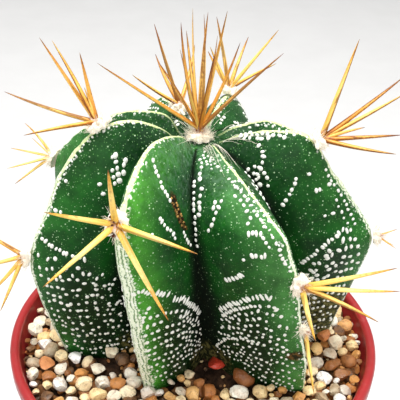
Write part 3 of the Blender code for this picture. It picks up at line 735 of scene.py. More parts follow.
def fieldRows(count, top, low):  # rows that close up from the topmost to the lowest
    rows = []
    for i in range(count):
        share = i / (count - 1)
        way = [tuple(a + (b - a) * share for a, b in zip(*pair)) for pair in zip(top, low)]
        kind = "shortDash" if i < 2 else "middle" if i < 6 else "small" if i < count - 1 else "tiny"
        rows.append((kind, flecks["fieldSpacing"] - flecks["closingUp"] * share, way))
    return rows


def flankRows(rib, side, draw):  # each row, and whether it belongs to the field at the foot
    usual, usualField = usualRows(draw)
    rows = fleckRows.get((rib, side), usual)
    field = fieldRows(own(flecks["fieldRows"], (rib, side)), *fleckFields.get((rib, side), usualField))
    return [(row, False) for row in rows] + [(row, True) for row in field]


def alongRow(rib, side, way, spacing, start):  # (place, share, direction) a given distance apart along a way
    if len(way) == 1:
        return [(*way[0], Vector((0, 0, 1)))]
    parts = 24  # of each stretch
    fine = [tuple(a + (b - a) * i / parts for a, b in zip(*pair))
            for pair in zip(way, way[1:]) for i in range(parts)]
    fine.append(way[-1])
    spots, walked = [], spacing * (1 - start)
    last = flankPoint(rib, side, *fine[0])
    for spot in fine[1:]:
        here = flankPoint(rib, side, *spot)
        walked += (here - last).length
        if walked >= spacing:
            spots.append((*spot, (here - last).normalized()))
            walked -= spacing
        last = here
    return spots


def fleckPlace(rib, side, kind, place, share, along, inField, draw):
    seat = flankFrame(rib, side, place, min(share, 0.97))
    local = seat.to_3x3().inverted() @ along
    turn = Matrix.Rotation(math.atan2(local.y, local.x) + draw.gauss(0, flecks["lean"]), 4, "Z")
    stray = own(flecks["fieldJitter"], (rib, side)) if inField else flecks["jitter"]
    shift = Vector((draw.gauss(0, 1), draw.gauss(0, 1), 0)) * stray
    size, stretch = draw.uniform(*flecks["size"]) * mm, draw.uniform(*flecks["stretch"])
    if inField:
        inward = max(share - flecks["shrinkFrom"], 0) / (1 - flecks["shrinkFrom"])
        size *= own(flecks["fieldSize"], (rib, side)) * (1 - flecks["shrink"] * inward)
    wide, long = flecks[kind]
    form = Matrix.Diagonal((wide * size * stretch, long * size / stretch, flecks["height"], 1))
    return seat @ Matrix.Translation(shift) @ turn @ form


def feltMaterial():
    material, tree, spot = newMaterial("fleckFelt", Roughness=0.95, Specular_IOR_Level=0.1)
    fuzz = grain(spot, 4000, 2)
    brown = tag(tree, "brown")
    felt = mixed(fuzz, hue(226, 228, 214), hue(255, 255, 250))
    scab = mixed(between(brown, 0.6, 1), hue(40, 24, 10), hue(188, 146, 84))
    felt = mixed(between(brown, 0.1, 0.4), felt, scab)
    return finished(material, felt, (fuzz, 0.6, 0.1 * mm))


def makeFlecks():
    draw = random.Random(flecks["seed"])
    points, faces = asShape(turnedPiece(flecks["sides"], flecks["foot"], flecks["form"]))
    copies = []
    for rib, side in product(ribNames, (-1, 1)):
        for (kind, spacing, way), inField in flankRows(rib, side, draw):
            start = draw.random() if len(way) > 3 else 0
            for place, share, along in alongRow(rib, side, way, spacing * mm, start):
                missing = flecks["missingInField"] + max(share - 0.5, 0) if inField else flecks["missing"]
                if draw.random() < missing:
                    continue
                made = moved(points, fleckPlace(rib, side, kind, place, share, along, inField, draw))
                copies.append((made, faces, {"brown": draw.uniform(0.5, 1) if kind == "brown" else 0.0}))
    piece = pieceFrom(copies)
    smooth(piece, 60)
    settle(piece, "feltFlecks", feltMaterial())
    return len(copies)


print("flecks:", makeFlecks(), "pads of felt")


# areoles: wool tufts with their sprays of spines

tuft = {
    "halfLength": 2.7 * mm, "halfWidth": 2.2 * mm, "height": 2.1 * mm,
    "share": {"b2": 0.4, "d2": 0.75, "usual": 1},
    "crownRadius": 2.7 * mm, "crownHeight": 1.7 * mm, "lumps": 0.5, "lumpsAcross": 2.4,
    "fibres": 190, "crownFibres": 570, "fibreLength": (0.9, 2.6), "thickness": 0.06 * mm,
    # how far out in the dome a fibre starts, how it leans aside and upwards, and how it curls
    "fibreRoot": 0.8, "fibreLean": 1.2, "fibreLift": 0.25, "fibreCurl": 0.3,
}
spray = {
    "seed": 11, "sides": 10, "radius": 0.7 * mm, "fullLength": 12 * mm, "bow": 0.035,
    # how wide and how thick across, and how far a spine's tone differs from its areole's
    "oval": (1.08, 0.88), "toneSpread": 0.25,
    # a spine of length and radius 1, as (height, radius)
    "taper": [(0.015, 1.05), (0.04, 1.12), (0.08, 1.04), (0.16, 0.98), (0.27, 0.92), (0.39, 0.85),
              (0.52, 0.75), (0.65, 0.63), (0.77, 0.49), (0.87, 0.35), (0.95, 0.2), (0.99, 0.08), (1, 0.02)],
    "stout": {"a1": 1, "b1": 0.95, "b2": 0.75, "d1": 0.9, "e1": 0.6, "usual": 0.8},
    "knot": 1.5 * mm, "knotHeight": 0.9 * mm, "padHeight": 1.3 * mm,
    # in the crown the spines start deeper in the wool, and those after the grown ones are slimmer
    "crownKnot": 3 * mm, "crownPadHeight": 2.8 * mm, "crownSunk": 2.0 * mm, "crownYellow": 0.34,
    "grown": 10, "young": 0.6,
    # dark buds in a line at the middle of this tuft
    "budded": "a1", "buds": 6, "budSize": [0.42 * mm, 0.42 * mm, 1.5 * mm],
    "budTop": 1.5 * mm, "budStep": 0.75 * mm,
}
# each areole: rib, place on the crest, yellowness, and its spines as (swing, rise, length in mm)
areoles = {
    "a1": ("a", 5, 1.0, [(5, 80, 14), (-45, 22, 15), (-15, -13, 20), (58, -26, 23), (85, 0, 19)]),
    "b1": ("b", 7, 0.8, [(47, 20, 21), (40, 8, 21), (27, -10, 18), (-20, -40, 12)]),
    "b2": ("b", 8, 0.95, [(-31, -43, 14)]),
    "c1": ("c", 3, 0.25, [(-60, 39, 24), (-60, 48, 21), (-80, 57, 16), (-65, 60, 8), (-28, 14, 22),
                          (12, 2, 17)]),
    "c2": ("c", 7, 0.55, [(0, -5, 14), (24, -32, 13), (45, -43, 14), (-40, 20, 17)]),
    "d1": ("d", 4, 0.25, [(66, 60, 24), (38, 32, 24), (31, 26, 22), (10, 8, 18), (-4, -1, 17), (14, 20, 10)]),
    "d2": ("d", 7, 0.3, [(-24, -18, 5), (5, -30, 4.5), (30, 10, 5)]),
    "e1": ("e", 6, 0.9, [(8, 40, 7), (30, 15, 11), (48, -6, 12), (58, -26, 12), (-30, 10, 17)]),
    "f1": ("f", 2, 0.4, [(25, 64, 21), (-35, 36, 18), (3, 24, 18), (70, 34, 14)]),
    "f2": ("f", 8, 0.3, [(-50, 8, 18), (48, 10, 19), (-22, 24, 20), (26, 28, 18), (2, 4, 21), (-12, -34, 16),
                         (34, -30, 15)]),
    "g1": ("g", 3, 0.4, [(50, 68, 19), (78, 60, 12), (-55, 50, 20), (0, 24, 20), (36, 12, 18), (-30, 8, 18)]),
    "g2": ("g", 8, 0.3, [(-52, 10, 18), (46, 6, 19), (-20, 28, 18), (24, 24, 20), (0, 8, 21), (-30, -32, 15),
                         (14, -36, 16)]),
    "h1": ("h", 8, 0.3, [(10, -35, 12), (40, -10, 14), (56, 28, 12), (68, 0, 15), (78, 22, 13)]),
}
crownSpines = [(-97, 31, 28), (-145, 70, 25), (-160, 62, 23), (172, 72, 27), (148, 68, 28), (105, 42, 26),
               (128, 60, 22), (-60, 74, 14), (40, 78, 20), (-118, 52, 18),
               # young slim ones
               (-168, 66, 28), (179, 60, 27), (-150, 58, 19), (155, 68, 22), (-100, 60, 14)]


def woolMaterial():
    material, tree, spot = newMaterial("areoleWool", Roughness=0.95, Specular_IOR_Level=0.1, Sheen_Weight=0.3)
    fuzz = grain(spot, 2200, 3)
    fluff = mixed(fuzz, hue(246, 230, 204), hue(255, 253, 244))
    heart = mixed(fuzz, hue(176, 118, 92), hue(236, 206, 180))
    out = plus(tag(tree, "outward"), times(fuzz, 0.3))
    colour = mixed(between(out, 0.35, 0.9), heart, fluff)
    return finished(material, colour, (fuzz, 0.5, 0.15 * mm))


def spineMaterial():
    material, tree, spot = newMaterial("spineHorn", Roughness=0.4, Specular_IOR_Level=0.3,
                                       Subsurface_Weight=0.08, Subsurface_Scale=0.3 * mm)
    along, tone, side = tags(tree, "along", "tone", "streakAndHighlight")
    fine = grain(spot, 1500, 3)
    way = plus(along, sway(fine, 0.25))
    brown = ramp(way, [(0, hue(110, 50, 10)), (0.12, hue(182, 98, 14)), (0.45, hue(208, 136, 26)),
                       (0.8, hue(158, 88, 18)), (1, hue(58, 26, 10))])
    golden = ramp(way, [(0, hue(176, 108, 26)), (0.1, hue(240, 200, 86)), (0.5, hue(254, 233, 142)),
                        (0.85, hue(228, 172, 64)), (1, hue(120, 64, 20))])
    horn = mixed(tone, brown, golden)
    # dark streaks down the sides, and light ones that are a painted highlight
    streakAndHighlight = plus(side, sway(fine, 0.5))
    dark = times(between(streakAndHighlight, 0.55, 0.85), between(tone, 0.3, 0.8, 0.82, 0.5))
    horn = mixed(dark, horn, hue(108, 50, 10))
    horn = mixed(between(streakAndHighlight, 0.1, 0.4, 0.6, 0), horn, hue(250, 214, 112))
    horn = mixed(between(tone, -1, -0.5, 1, 0), horn, hue(78, 30, 22))  # the buds
    return finished(material, horn, (fine, 0.3, 0.1 * mm))


def woolFibre(halfWidth, halfLength, height, draw):  # a curled path from the dome outwards
    turn, rise = draw.uniform(0, math.tau), draw.uniform(0, 1)
    flat = math.sqrt(1 - rise ** 2)
    out = Vector((math.cos(turn) * flat, math.sin(turn) * flat, rise))
    root = Vector((out.x * halfWidth, out.y * halfLength, out.z * height)) * tuft["fibreRoot"]
    lean = Vector((-out.y, out.x, 0)) * draw.uniform(-tuft["fibreLean"], tuft["fibreLean"])
    way = (out + lean + Vector((0, 0, tuft["fibreLift"]))).normalized()
    length = draw.uniform(*tuft["fibreLength"]) * mm
    curl = Vector([draw.uniform(-tuft["fibreCurl"], tuft["fibreCurl"]) for axis in range(3)])
    spots = [root + (way * t + curl * t ** 2) * length for t in (0, 0.3, 0.6, 1)]
    for spot in spots:
        spot.z = max(spot.z, 0.05 * mm)
    return spots


def makeTuft(name, seat, halfWidth, halfLength, height, fibres, draw):
    deselectAll()
    bpy.ops.mesh.primitive_ico_sphere_add(subdivisions=4, radius=1)
    dome = bpy.context.object
    startEdit(dome)
    bpy.ops.mesh.bisect(plane_co=(0, 0, -0.08), plane_no=(0, 0, 1), use_fill=True, clear_inner=True)
    bpy.ops.object.mode_set(mode="OBJECT")
    shift = Vector([draw.uniform(0, 50) for axis in range(3)])
    for vertex in dome.data.vertices:
        lump = 1 + tuft["lumps"] * noise.noise(vertex.co * tuft["lumpsAcross"] + shift)
        vertex.co = seat @ Vector((vertex.co.x * halfWidth * lump, vertex.co.y * halfLength * lump,
                                   max(vertex.co.z, 0) ** 0.8 * height * lump))
    paths = [[seat @ spot for spot in woolFibre(halfWidth, halfLength, height, draw)] for i in range(fibres)]
    fluff = strands(paths, tuft["thickness"])
    pickOnly(fluff)
    dome.select_set(True)
    bpy.context.view_layer.objects.active = dome
    bpy.ops.object.join()
    back = seat.inverted()
    local = [back @ vertex.co for vertex in dome.data.vertices]
    addTag(dome.data, "outward", [math.hypot(spot.x / halfWidth, spot.y / halfLength) for spot in local])
    smooth(dome, 70)
    settle(dome, "woolTuft_" + name, wool, ["wool_" + name])


def bentSpine(length, thick, yellow, draw):  # its points and tags, bowed a little and oval across
    form = spinePoints.copy()
    bow, side = draw.uniform(-1, 1) * spray["bow"] * length, draw.uniform(0, math.pi)
    along = form[:, 2]
    form[:, :2] *= np.array(spray["oval"]) * thick
    form[:, 0] += bow * math.cos(side) * 4 * along * (1 - along)
    form[:, 1] += bow * math.sin(side) * 4 * along * (1 - along)
    streaks = np.array([draw.random() for side in range(spray["sides"])])
    column = np.rint(np.arctan2(spinePoints[:, 1], spinePoints[:, 0]) / math.tau * spray["sides"]).astype(int)
    tone = yellow + draw.uniform(-spray["toneSpread"], spray["toneSpread"])
    values = {"along": along.copy(), "tone": within(tone),
              "streakAndHighlight": streaks[column % spray["sides"]]}
    form[:, 2] *= length
    return form, values


def makeSpray(name, seat, padHeight, bearing, spines, knot, yellow, draw):
    base = seat @ Vector((0, 0, padHeight + gap + spray["knotHeight"] / 2))
    outward = seat.col[2].to_3d()
    sunk = spray["crownSunk"] if name == "crown" else 0
    copies = []
    for number, (swing, rise, length) in enumerate(spines):
        length = length * mm + sunk
        turn, lift = bearing + math.radians(swing), math.radians(rise)
        way = Vector((math.sin(turn) * math.cos(lift), -math.cos(turn) * math.cos(lift), math.sin(lift)))
        root = base + (way - way.project(outward)) * knot / 3 - outward * 0.5 * mm - way * sunk
        thick = spray["radius"] * min(1, length / spray["fullLength"]) * own(spray["stout"], name)
        thick *= spray["young"] if number >= spray["grown"] else 1
        form, values = bentSpine(length, thick, yellow, draw)
        place = Matrix.Translation(root) @ way.to_track_quat("Z", "Y").to_matrix().to_4x4()
        copies.append((moved(form, place), spineFaces, values))
    if name == spray["budded"]:
        for i in range(spray["buds"]):
            spot = Vector((draw.uniform(-1, 1) * mm, spray["budTop"] - spray["budStep"] * i,
                           padHeight + 0.1 * mm))
            bud = moved(spinePoints * spray["budSize"], seat @ Matrix.Translation(spot))
            copies.append((bud, spineFaces, {"along": 0, "tone": -1, "streakAndHighlight": 0.5}))
    piece = pieceFrom(copies)
    smooth(piece, 50)
    settle(piece, "spines_of_" + name, horn, ["spines_" + name])


wool, horn = woolMaterial(), spineMaterial()
spinePoints, spineFaces = asShape(turnedPiece(spray["sides"], (0, 0.8), spray["taper"]))
chance = random.Random(spray["seed"])
for name, (rib, place, yellow, spines) in areoles.items():
    seat = areoleFrame(rib, place)
    wide, long = (own(tuft["share"], name) * tuft[half] for half in ("halfWidth", "halfLength"))
    makeTuft(name, seat, wide, long, tuft["height"], tuft["fibres"], chance)
    makeSpray(name, seat, spray["padHeight"], ribBearing(rib, place), spines, spray["knot"], yellow, chance)
crownSeat = Matrix.Translation(stem["centre"] + Vector((0, 0, rim + stem["crownHeight"] + gap)))
wide = tuft["crownRadius"]
makeTuft("crown", crownSeat, wide, wide, tuft["crownHeight"], tuft["crownFibres"], chance)
makeSpray("crown", crownSeat, spray["crownPadHeight"], 0, crownSpines, spray["crownKnot"],
          spray["crownYellow"], chance)
print("areoles:", len(areoles) + 1, "tufts with spines")


# pot: a disc pulled up the outside, over the lip and down the inside

pot = {"radius": 50 * mm, "base": 35 * mm, "chamfer": 1.2 * mm, "wall": 1.6 * mm, "floor": 2.2 * mm,
       "lip": 2.6 * mm, "lipDepth": 4.2 * mm, "lipEdge": 0.5 * mm,
       # the lip's roll in degrees, from, to and step, and the rings of the wall outside and inside
       "lipRoll": (-20, 201, 12), "sides": 144, "outerRings": 12, "innerRings": 11,
       "drainHoles": 6, "drainRadius": 3.5 * mm, "drainCircle": 24 * mm, "drainSides": 28}


def potInside(height):  # the inner wall's radius at a height
    share = (height - pot["floor"]) / (rim - pot["floor"])
    bottom = pot["base"] - pot["wall"]
    return bottom + share * (pot["radius"] - pot["lip"] - bottom)


def plasticMaterial():
    material, tree, spot = newMaterial("potPlastic", Specular_IOR_Level=0.5)
    worn = patchMask(spot, 55, 0.35, 0.7)
    dusty = patchMask(spot, 420, 0.52, 0.75)
    height = put(tree, "ShaderNodeSeparateXYZ", {0: spot}).outputs[2]
    colour = mixed(worn, hue(156, 36, 38), hue(172, 46, 46))
    low = between(height, 0, 30 * mm, 0.5, 0)
    colour = mixed(times(dusty, plus(low, 0.12)), colour, hue(158, 104, 86))
    roughness = between(dusty, 0, 1, 0.36, 0.6)
    return finished(material, colour, (grain(spot, 1800, 2), 0.12, 0.1 * mm), roughness)


def wallSteps():  # the pot's wall as (height, radius), from the chamfer at its base round to its floor
    lip, under, edge = pot["lip"] / 2, rim - pot["lipDepth"], pot["lipEdge"]
    steps = [(pot["chamfer"] * 0.4, pot["base"] - pot["chamfer"] * 0.3), (pot["chamfer"], pot["base"])]
    for i in range(1, pot["outerRings"] + 1):
        height = pot["chamfer"] + (under - pot["chamfer"]) * i / pot["outerRings"]
        steps.append((height, potInside(height) + pot["wall"]))
    steps += [(under + edge * 0.3, pot["radius"] - edge * 0.9), (under + edge, pot["radius"] - edge * 0.2)]
    for turn in range(*pot["lipRoll"]):
        angle = math.radians(turn)
        steps.append((rim - lip + lip * math.sin(angle), pot["radius"] - lip + lip * math.cos(angle)))
    for i in range(pot["innerRings"], 0, -1):
        height = pot["floor"] + (under - pot["floor"]) * i / pot["innerRings"]
        steps.append((height, potInside(height)))
    inner = potInside(pot["floor"])
    return steps + [(pot["floor"] + 0.6 * mm, inner), (pot["floor"], inner - 0.8 * mm)]


def makePot():
    piece = turnedPiece(pot["sides"], (0, pot["base"] - pot["chamfer"]), wallSteps())
    cutters = []
    for i in range(pot["drainHoles"]):
        angle = math.tau * (i + 0.5) / pot["drainHoles"]
        deselectAll()
        bpy.ops.mesh.primitive_cylinder_add(
            vertices=pot["drainSides"], radius=pot["drainRadius"], depth=4 * pot["floor"],
            location=(pot["drainCircle"] * math.cos(angle), pot["drainCircle"] * math.sin(angle), 0))
        cutters.append(bpy.context.object)
    pickOnly(piece)
    for cutter in cutters:
        hole = piece.modifiers.new("drain hole", "BOOLEAN")
        hole.operation, hole.object = "DIFFERENCE", cutter
        bpy.ops.object.modifier_apply(modifier=hole.name)
        bpy.data.objects.remove(cutter, do_unlink=True)
    smooth(piece, 40)
    settle(piece, "thinPot", plasticMaterial(), ["pot"])


makePot()
print("pot: rolled lip and", pot["drainHoles"], "drain holes")


# soil and gravel

bed = {"atPlant": 0.4 * mm, "atWall": 4.0 * mm, "under": 2.4 * mm, "bottom": 10 * mm, "hole": 9 * mm,
       "sides": 120, "rings": 34, "roughness": 0.9 * mm, "lumpSize": 2.6 * mm}
stones = {
    "kinds": 12, "seed": 5, "size": (1.0 * mm, 2.7 * mm), "packing": 0.77, "tries": 18000,
    "narrow": (0.75, 1), "squash": (0.5, 0.85), "lean": 0.25,
    # how uneven a stone is, how many flat sides are cut, how far out, and how near points merge
    "uneven": 0.12, "cuts": (4, 9), "cutPlace": (0.55, 0.85), "merge": 0.2,
    # a stone's size lies between the largest at that time and a mix of it with the smallest,
    # and its middle lies this much lower or higher than its layer, as a share of its size
    "sizeMix": 0.6, "rise": (-0.15, 0.3),
    # how far a stone may reach into the stem or the wall, and the least room for one,
    # as a share of the smallest size
    "overlap": 0.35 * mm, "leastRoom": 0.8,
    # each layer: how deep it lies, and how far up the scale of colours its stones go; the lower layer keeps
    # to the dark end, as painted shade in the gaps
    "layers": [(2.0 * mm, 0.22), (0, 1)],
    "markedLift": 0.8 * mm,
    "grit": 1100, "gritSize": (0.3 * mm, 0.8 * mm), "gritDepth": (0.2, 1.6), "gritTone": 0.6,
}
# colours of the stones, each with the share of the bed that comes before it
stoneColours = [(0.0, (34, 30, 26)), (0.08, (100, 62, 32)), (0.14, (172, 104, 50)), (0.24, (220, 154, 82)),
                (0.36, (240, 198, 130)), (0.50, (250, 224, 168)), (0.64, (255, 242, 206)),
                (0.76, (255, 253, 238)), (0.86, (176, 162, 132)), (0.93, (255, 255, 250))]
# stones that stand out: place in mm from the pot's middle, half size in mm, share as above, and redness
markedStones = [((6.4, -13.6), 3.0, 0.2, 1.0), ((13.4, -18.2), 3.5, 0.1, 0.05), ((-31.6, -4.4), 2.7, 0.74, 0),
                ((-21.8, -10.4), 2.2, 0.66, 0), ((-44.5, 0.8), 2.6, 0.72, 0), ((33.1, -10.3), 2.5, 0.88, 0),
                ((-18.6, -12.6), 2.3, 0.0, 0), ((35.7, -1.1), 2.4, 0.25, 0.3), ((43.1, 5.6), 2.3, 0.3, 0.1),
                ((-38.5, -13.7), 2.4, 0.3, 0.35)]
# bare soil at the feet of the grooves, whose dark also stands in for the shade there: place and radius in mm
bareSoilAndShade = [((7, -14), 7.5), ((15, -18.5), 4.5), ((5, -18), 3), ((-24.5, -10.5), 3.4), ((-20.5, -14), 3.2)]


def stemFoot():  # the stem's outline where the gravel meets it
    shares = (0.08, 0.2, 0.4, 0.6, 0.8)
    flanks = ((-1, (1, *reversed(shares))), (1, (0, *shares)))
    return np.array([flankPoint(rib, side, stem["gravelPlace"], share).xy
                     for rib in ribNames for side, along in flanks for share in along])


foot = stemFoot()
footEnds = np.roll(foot, -1, axis=0)
footReach = foot - np.array(stem["centre"].xy)
footBearings, footRadii = np.arctan2(footReach[:, 0], footReach[:, 1]), np.hypot(*footReach.T)


def roomAt(x, y):  # free distance round a spot on the bed, negative inside the stem
    here, way = np.array((x, y)), footEnds - foot
    share = np.clip(((here - foot) * way).sum(1) / (way ** 2).sum(1), 0, 1)
    near = np.hypot(*((foot + share[:, None] * way) - here).T).min()
    crosses = (foot[:, 1] > y) != (footEnds[:, 1] > y)
    at = foot[:, 0] + (y - foot[:, 1]) * way[:, 0] / np.where(crosses, way[:, 1], 1)
    if (crosses & (at > x)).sum() % 2:
        return -near
    return min(near, potInside(rim - bed["atWall"]) - gap - math.hypot(x, y))


def bedHeight(x, y):  # the bed rises a little from the wall to the plant
    reach = Vector((x, y)) - stem["centre"].xy
    inner = np.interp(math.atan2(*reach), footBearings, footRadii, period=math.tau)
    outer = potInside(rim) - stem["centre"].y * reach.normalized().y
    share = within((reach.length - inner) / (outer - inner))
    return rim - bed["atPlant"] - (bed["atWall"] - bed["atPlant"]) * share


def soilMaterial():
    material, tree, spot = newMaterial("darkSoil", Roughness=0.95, Specular_IOR_Level=0.15)
    crumbs = put(tree, "ShaderNodeTexVoronoi", {"Vector": spot, "Scale": 700}).outputs["Distance"]
    clods = patchMask(spot, 260, 0.4, 0.65)
    bark = speckMask(spot, 420, 0.3, 0.3)
    colour = mixed(bark, mixed(clods, hue(40, 28, 20), hue(78, 56, 40)), hue(120, 88, 60))
    return finished(material, colour, (calc("SUBTRACT", 1, crumbs), 0.9, 0.5 * mm))


def stoneMaterial():
    material, tree, spot = newMaterial("gravelStone", Specular_IOR_Level=0.45)
    veins = patchMask(spot, 380, 0.35, 0.65)
    stains = patchMask(spot, 900, 0.5, 0.66)
    grains = speckMask(spot, 2100, 0.3, 0.35)
    colour = ramp(tag(tree, "stone"), [(place, hue(*rgb)) for place, rgb in stoneColours])
    colour = mixed(times(veins, 0.35), colour, hue(190, 136, 84))
    colour = mixed(times(stains, 0.45), colour, hue(104, 72, 44))
    colour = mixed(times(grains, 0.45), colour, hue(70, 54, 40))
    colour = mixed(tag(tree, "red"), colour, hue(206, 66, 44))
    pits = grain(spot, 1600, 4)
    return finished(material, colour, (pits, 0.7, 0.35 * mm), between(veins, 0, 1, 0.28, 0.6))


def makeSoilBed(material):
    top = rim - bed["atWall"] - bed["under"]
    low, outer = rim - bed["bottom"], potInside(top) - gap
    levels = [low + (top - low) * i / 3 for i in (1, 2, 3)]
    steps = [(height, outer) for height in levels]
    for i in range(1, bed["rings"] + 1):
        steps.append((levels[-1], outer + (bed["hole"] - outer) * i / bed["rings"]))
    piece = turnedPiece(bed["sides"], (low, outer), steps)
    for vertex in piece.data.vertices:
        if vertex.co.z > levels[-1] - 1e-6:
            lump = noise.noise(vertex.co / bed["lumpSize"]) * bed["roughness"]
            inside = math.hypot(*vertex.co.xy) < outer - 0.5 * mm
            vertex.co.z = bedHeight(*vertex.co.xy) - bed["under"] + (lump if inside else 0)
    smooth(piece)
    settle(piece, "soilUnderGravel", material)


def modelStone(draw):  # a ball cut flat on a few sides
    deselectAll()
    bpy.ops.mesh.primitive_ico_sphere_add(subdivisions=2, radius=1)
    piece = bpy.context.object
    startEdit(piece)
    bpy.ops.transform.vertex_random(offset=stones["uneven"], seed=draw.randint(0, 999))
    for i in range(draw.randint(*stones["cuts"])):
        way = Vector([draw.gauss(0, 1) for axis in range(3)]).normalized()
        bpy.ops.mesh.select_all(action="SELECT")
        cut = way * draw.uniform(*stones["cutPlace"])
        bpy.ops.mesh.bisect(plane_co=cut, plane_no=way, use_fill=True, clear_outer=True)
    bpy.ops.mesh.select_all(action="SELECT")
    bpy.ops.mesh.remove_doubles(threshold=stones["merge"])
    bpy.ops.mesh.normals_make_consistent(inside=False)
    bpy.ops.object.mode_set(mode="OBJECT")
    return asShape(piece)


def stonePlace(x, y, height, size, draw):
    squash = Matrix.Diagonal((size, size * draw.uniform(*stones["narrow"]),
                              size * draw.uniform(*stones["squash"]), 1))
    roll = Matrix.Rotation(draw.uniform(0, math.tau), 4, Vector([draw.gauss(0, 1) for axis in range(3)]))
    tilt = Matrix.Rotation(draw.gauss(0, stones["lean"]), 4, "X")
    tilt = tilt @ Matrix.Rotation(draw.gauss(0, stones["lean"]), 4, "Y")
    spin = Matrix.Rotation(draw.uniform(0, math.tau), 4, "Z")
    return Matrix.Translation((x, y, height)) @ tilt @ spin @ squash @ roll


def sizeThatFits(x, y, size, placed):  # 0 where no stone can lie
    if any((x - a) ** 2 + (y - b) ** 2 < (stones["packing"] * (size + c)) ** 2 for a, b, c in placed):
        return 0
    if any(math.hypot(x / mm - a, y / mm - b) < around for (a, b), around in bareSoilAndShade):
        return 0
    room = roomAt(x, y) + stones["overlap"]
    return min(size, room) if room >= stones["size"][0] * stones["leastRoom"] else 0


def makeGravel():
    draw = random.Random(stones["seed"])
    shapes = [modelStone(draw) for i in range(stones["kinds"])]
    (smallest, largest), mix = stones["size"], stones["sizeMix"]
    copies = []

    def anywhere():
        return draw.uniform(-pot["radius"], pot["radius"]), draw.uniform(-pot["radius"], pot["radius"])

    def lay(x, y, size, height, tone, red=0.0):
        points, faces = draw.choice(shapes)
        made = moved(points, stonePlace(x, y, height, size, draw))
        copies.append((made, faces, {"stone": tone, "red": red}))

    marked = []
    for (x, y), size, tone, red in markedStones:
        marked.append((x * mm, y * mm, size * mm))
        lay(*marked[-1], bedHeight(x * mm, y * mm) + stones["markedLift"], tone, red)
    for depth, tones in stones["layers"]:
        placed = [] if depth else list(marked)  # the top layer lies round the marked stones
        for attempt in range(stones["tries"]):
            most = largest - (largest - smallest) * attempt / stones["tries"]
            x, y = anywhere()
            if math.hypot(x, y) > pot["radius"]:
                continue
            least = mix * most + (1 - mix) * smallest
            size = sizeThatFits(x, y, draw.uniform(least, most), placed)
            if size:
                placed.append((x, y, size))
                height = bedHeight(x, y) - depth + draw.uniform(*stones["rise"]) * size
                # the lower layer's stones take only the darkest colours: painted shade in the gaps between
                # the top stones
                lay(x, y, size, height, draw.random() * tones)
    for i in range(stones["grit"]):
        x, y = anywhere()
        size = draw.uniform(*stones["gritSize"])
        if math.hypot(x, y) < pot["radius"] and roomAt(x, y) > size:
            height = bedHeight(x, y) - draw.uniform(*stones["gritDepth"]) * mm
            lay(x, y, size, height, draw.random() * stones["gritTone"])
    piece = pieceFrom(copies)
    smooth(piece, 38)
    settle(piece, "gravelStones", stoneMaterial(), ["gravel"])
    return len(copies)


soilFinish = soilMaterial()
makeSoilBed(soilFinish)
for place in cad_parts["soil"].material_slots:
    place.material = soilFinish
print("gravel:", makeGravel(), "stones")


# fine hairs that lie over the crown's shoulders, and loose threads that hang from a tuft

hairs = {
    "seed": 8, "count": 50, "thickness": 0.05 * mm, "lift": 0.25 * mm, "arch": 0.4 * mm, "steps": 8,
    # a hair lies on one of these ribs, most often on a front one
    "ribs": "bbbbaadhgf",
    # the places between which it starts and ends, its share of the flank, its drift and its tremble
    "start": (0.3, 0.8), "end": (1.2, 2.6), "share": (0.05, 0.5), "drift": 0.2, "tremble": 0.02,
    "threads": 3, "threadSteps": 6, "threadStep": 1.1 * mm, "threadRib": "b", "threadPlace": 7,
}


def hairPath(draw):  # down from the crown, a little above the skin
    rib, side = draw.choice(hairs["ribs"]), draw.choice((-1, 1))
    share, drift = draw.uniform(*hairs["share"]), draw.uniform(-hairs["drift"], hairs["drift"])
    start, end = draw.uniform(*hairs["start"]), draw.uniform(*hairs["end"])
    tremble = hairs["tremble"]
    path = []
    for step in range(hairs["steps"]):
        along = step / (hairs["steps"] - 1)
        across = within(share + drift * along + draw.uniform(-tremble, tremble), 0.02, 0.95)
        seat = flankFrame(rib, side, start + (end - start) * along, across)
        path.append(seat @ Vector((0, 0, hairs["lift"] + hairs["arch"] * math.sin(math.pi * along))))
    return path


def threadPath(seat, draw):
    x = draw.uniform(-1.5, 1.5) * mm
    return [seat @ Vector((x + draw.uniform(-0.4, 0.4) * mm, -2 * mm - step * hairs["threadStep"],
                           1.2 * mm + 0.2 * mm * step)) for step in range(hairs["threadSteps"])]


def makeHairs():
    draw = random.Random(hairs["seed"])
    seat = areoleFrame(hairs["threadRib"], hairs["threadPlace"])
    paths = [hairPath(draw) for i in range(hairs["count"])]
    paths += [threadPath(seat, draw) for i in range(hairs["threads"])]
    piece = strands(paths, hairs["thickness"])
    addTag(piece.data, "outward", [1.0] * len(piece.data.vertices))
    smooth(piece)
    settle(piece, "crownHairs", wool)


makeHairs()
print("hairs:", hairs["count"] + hairs["threads"], "laid")


# floor, light and camera

# the camera: its angles in radians, and its lens and film width in mm, as Blender has them
view = {"place": (0.14 * mm, -170.3 * mm, 235.55 * mm), "yaw": 0.0029, "pitch": 0.5551, "roll": 0.0311,
        "lens": 72.1, "film": 36, "nearest": 10 * mm}
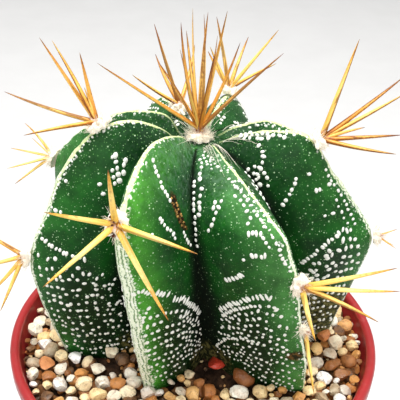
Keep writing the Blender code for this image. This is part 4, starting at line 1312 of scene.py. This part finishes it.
# each light: name, place, aim, size in metres, watts, colour
lights = [
    ("topSoftbox", (-0.05, 0.05, 0.95), (0, 0, 0.10), 0.5, 11.5, (1, 0.99, 0.97)),
    ("leftSoftbox", (-0.75, -0.2, 0.42), (0, 0, 0.12), 0.5, 1.6, (1, 1, 1)),
    ("rightSoftbox", (0.75, -0.15, 0.42), (0, 0, 0.12), 0.5, 2.2, (1, 1, 1)),
    ("frontFill", (0.0, -0.8, 0.5), (0, 0, 0.12), 0.6, 2.6, (1, 1, 1)),
]
roomLight = 0.4  # strength of the white room round it all


def makeFloor():
    deselectAll()
    bpy.ops.mesh.primitive_plane_add(size=8, location=(0, 0, -0.2 * mm))
    floor = bpy.context.object
    floor.name = "paleFloor"
    material, tree, spot = newMaterial("floorPaper", Roughness=0.9, Specular_IOR_Level=0.1)
    paper = mixed(patchMask(spot, 30, 0.3, 0.7), hue(207, 207, 207), hue(210, 210, 210))
    floor.data.materials.append(finished(material, paper))


def makeLights():
    for name, place, aim, size, watts, colour in lights:
        lamp = bpy.data.lights.new(name, "AREA")
        lamp.energy, lamp.size, lamp.color = watts, size, colour
        thing = bpy.data.objects.new(name, lamp)
        scene.collection.objects.link(thing)
        thing.location = place
        thing.rotation_euler = (Vector(aim) - Vector(place)).to_track_quat("-Z", "Y").to_euler()
    world = bpy.data.worlds.new("paleRoom")
    scene.world = world
    world.use_nodes = True
    sky = world.node_tree.nodes["Background"]
    sky.inputs[0].default_value, sky.inputs[1].default_value = (1, 1, 1, 1), roomLight


def makeCamera():
    lens = bpy.data.cameras.new("camera")
    lens.lens, lens.sensor_width, lens.clip_start = view["lens"], view["film"], view["nearest"]
    camera = bpy.data.objects.new("camera", lens)
    scene.collection.objects.link(camera)
    yaw, pitch, roll = view["yaw"], view["pitch"], view["roll"]
    ahead = Vector((math.sin(yaw) * math.cos(pitch), math.cos(yaw) * math.cos(pitch), -math.sin(pitch)))
    right = ahead.cross(Vector((0, 0, 1))).normalized()
    above = right.cross(ahead)
    turn, tilt = math.cos(roll), math.sin(roll)
    seat = Matrix((right * turn + above * tilt, above * turn - right * tilt, -ahead)).transposed().to_4x4()
    seat.translation = view["place"]
    camera.matrix_world = seat
    scene.camera = camera


makeFloor()
makeLights()
makeCamera()
scene.view_settings.view_transform = "Standard"
print("floor, light and camera ready")
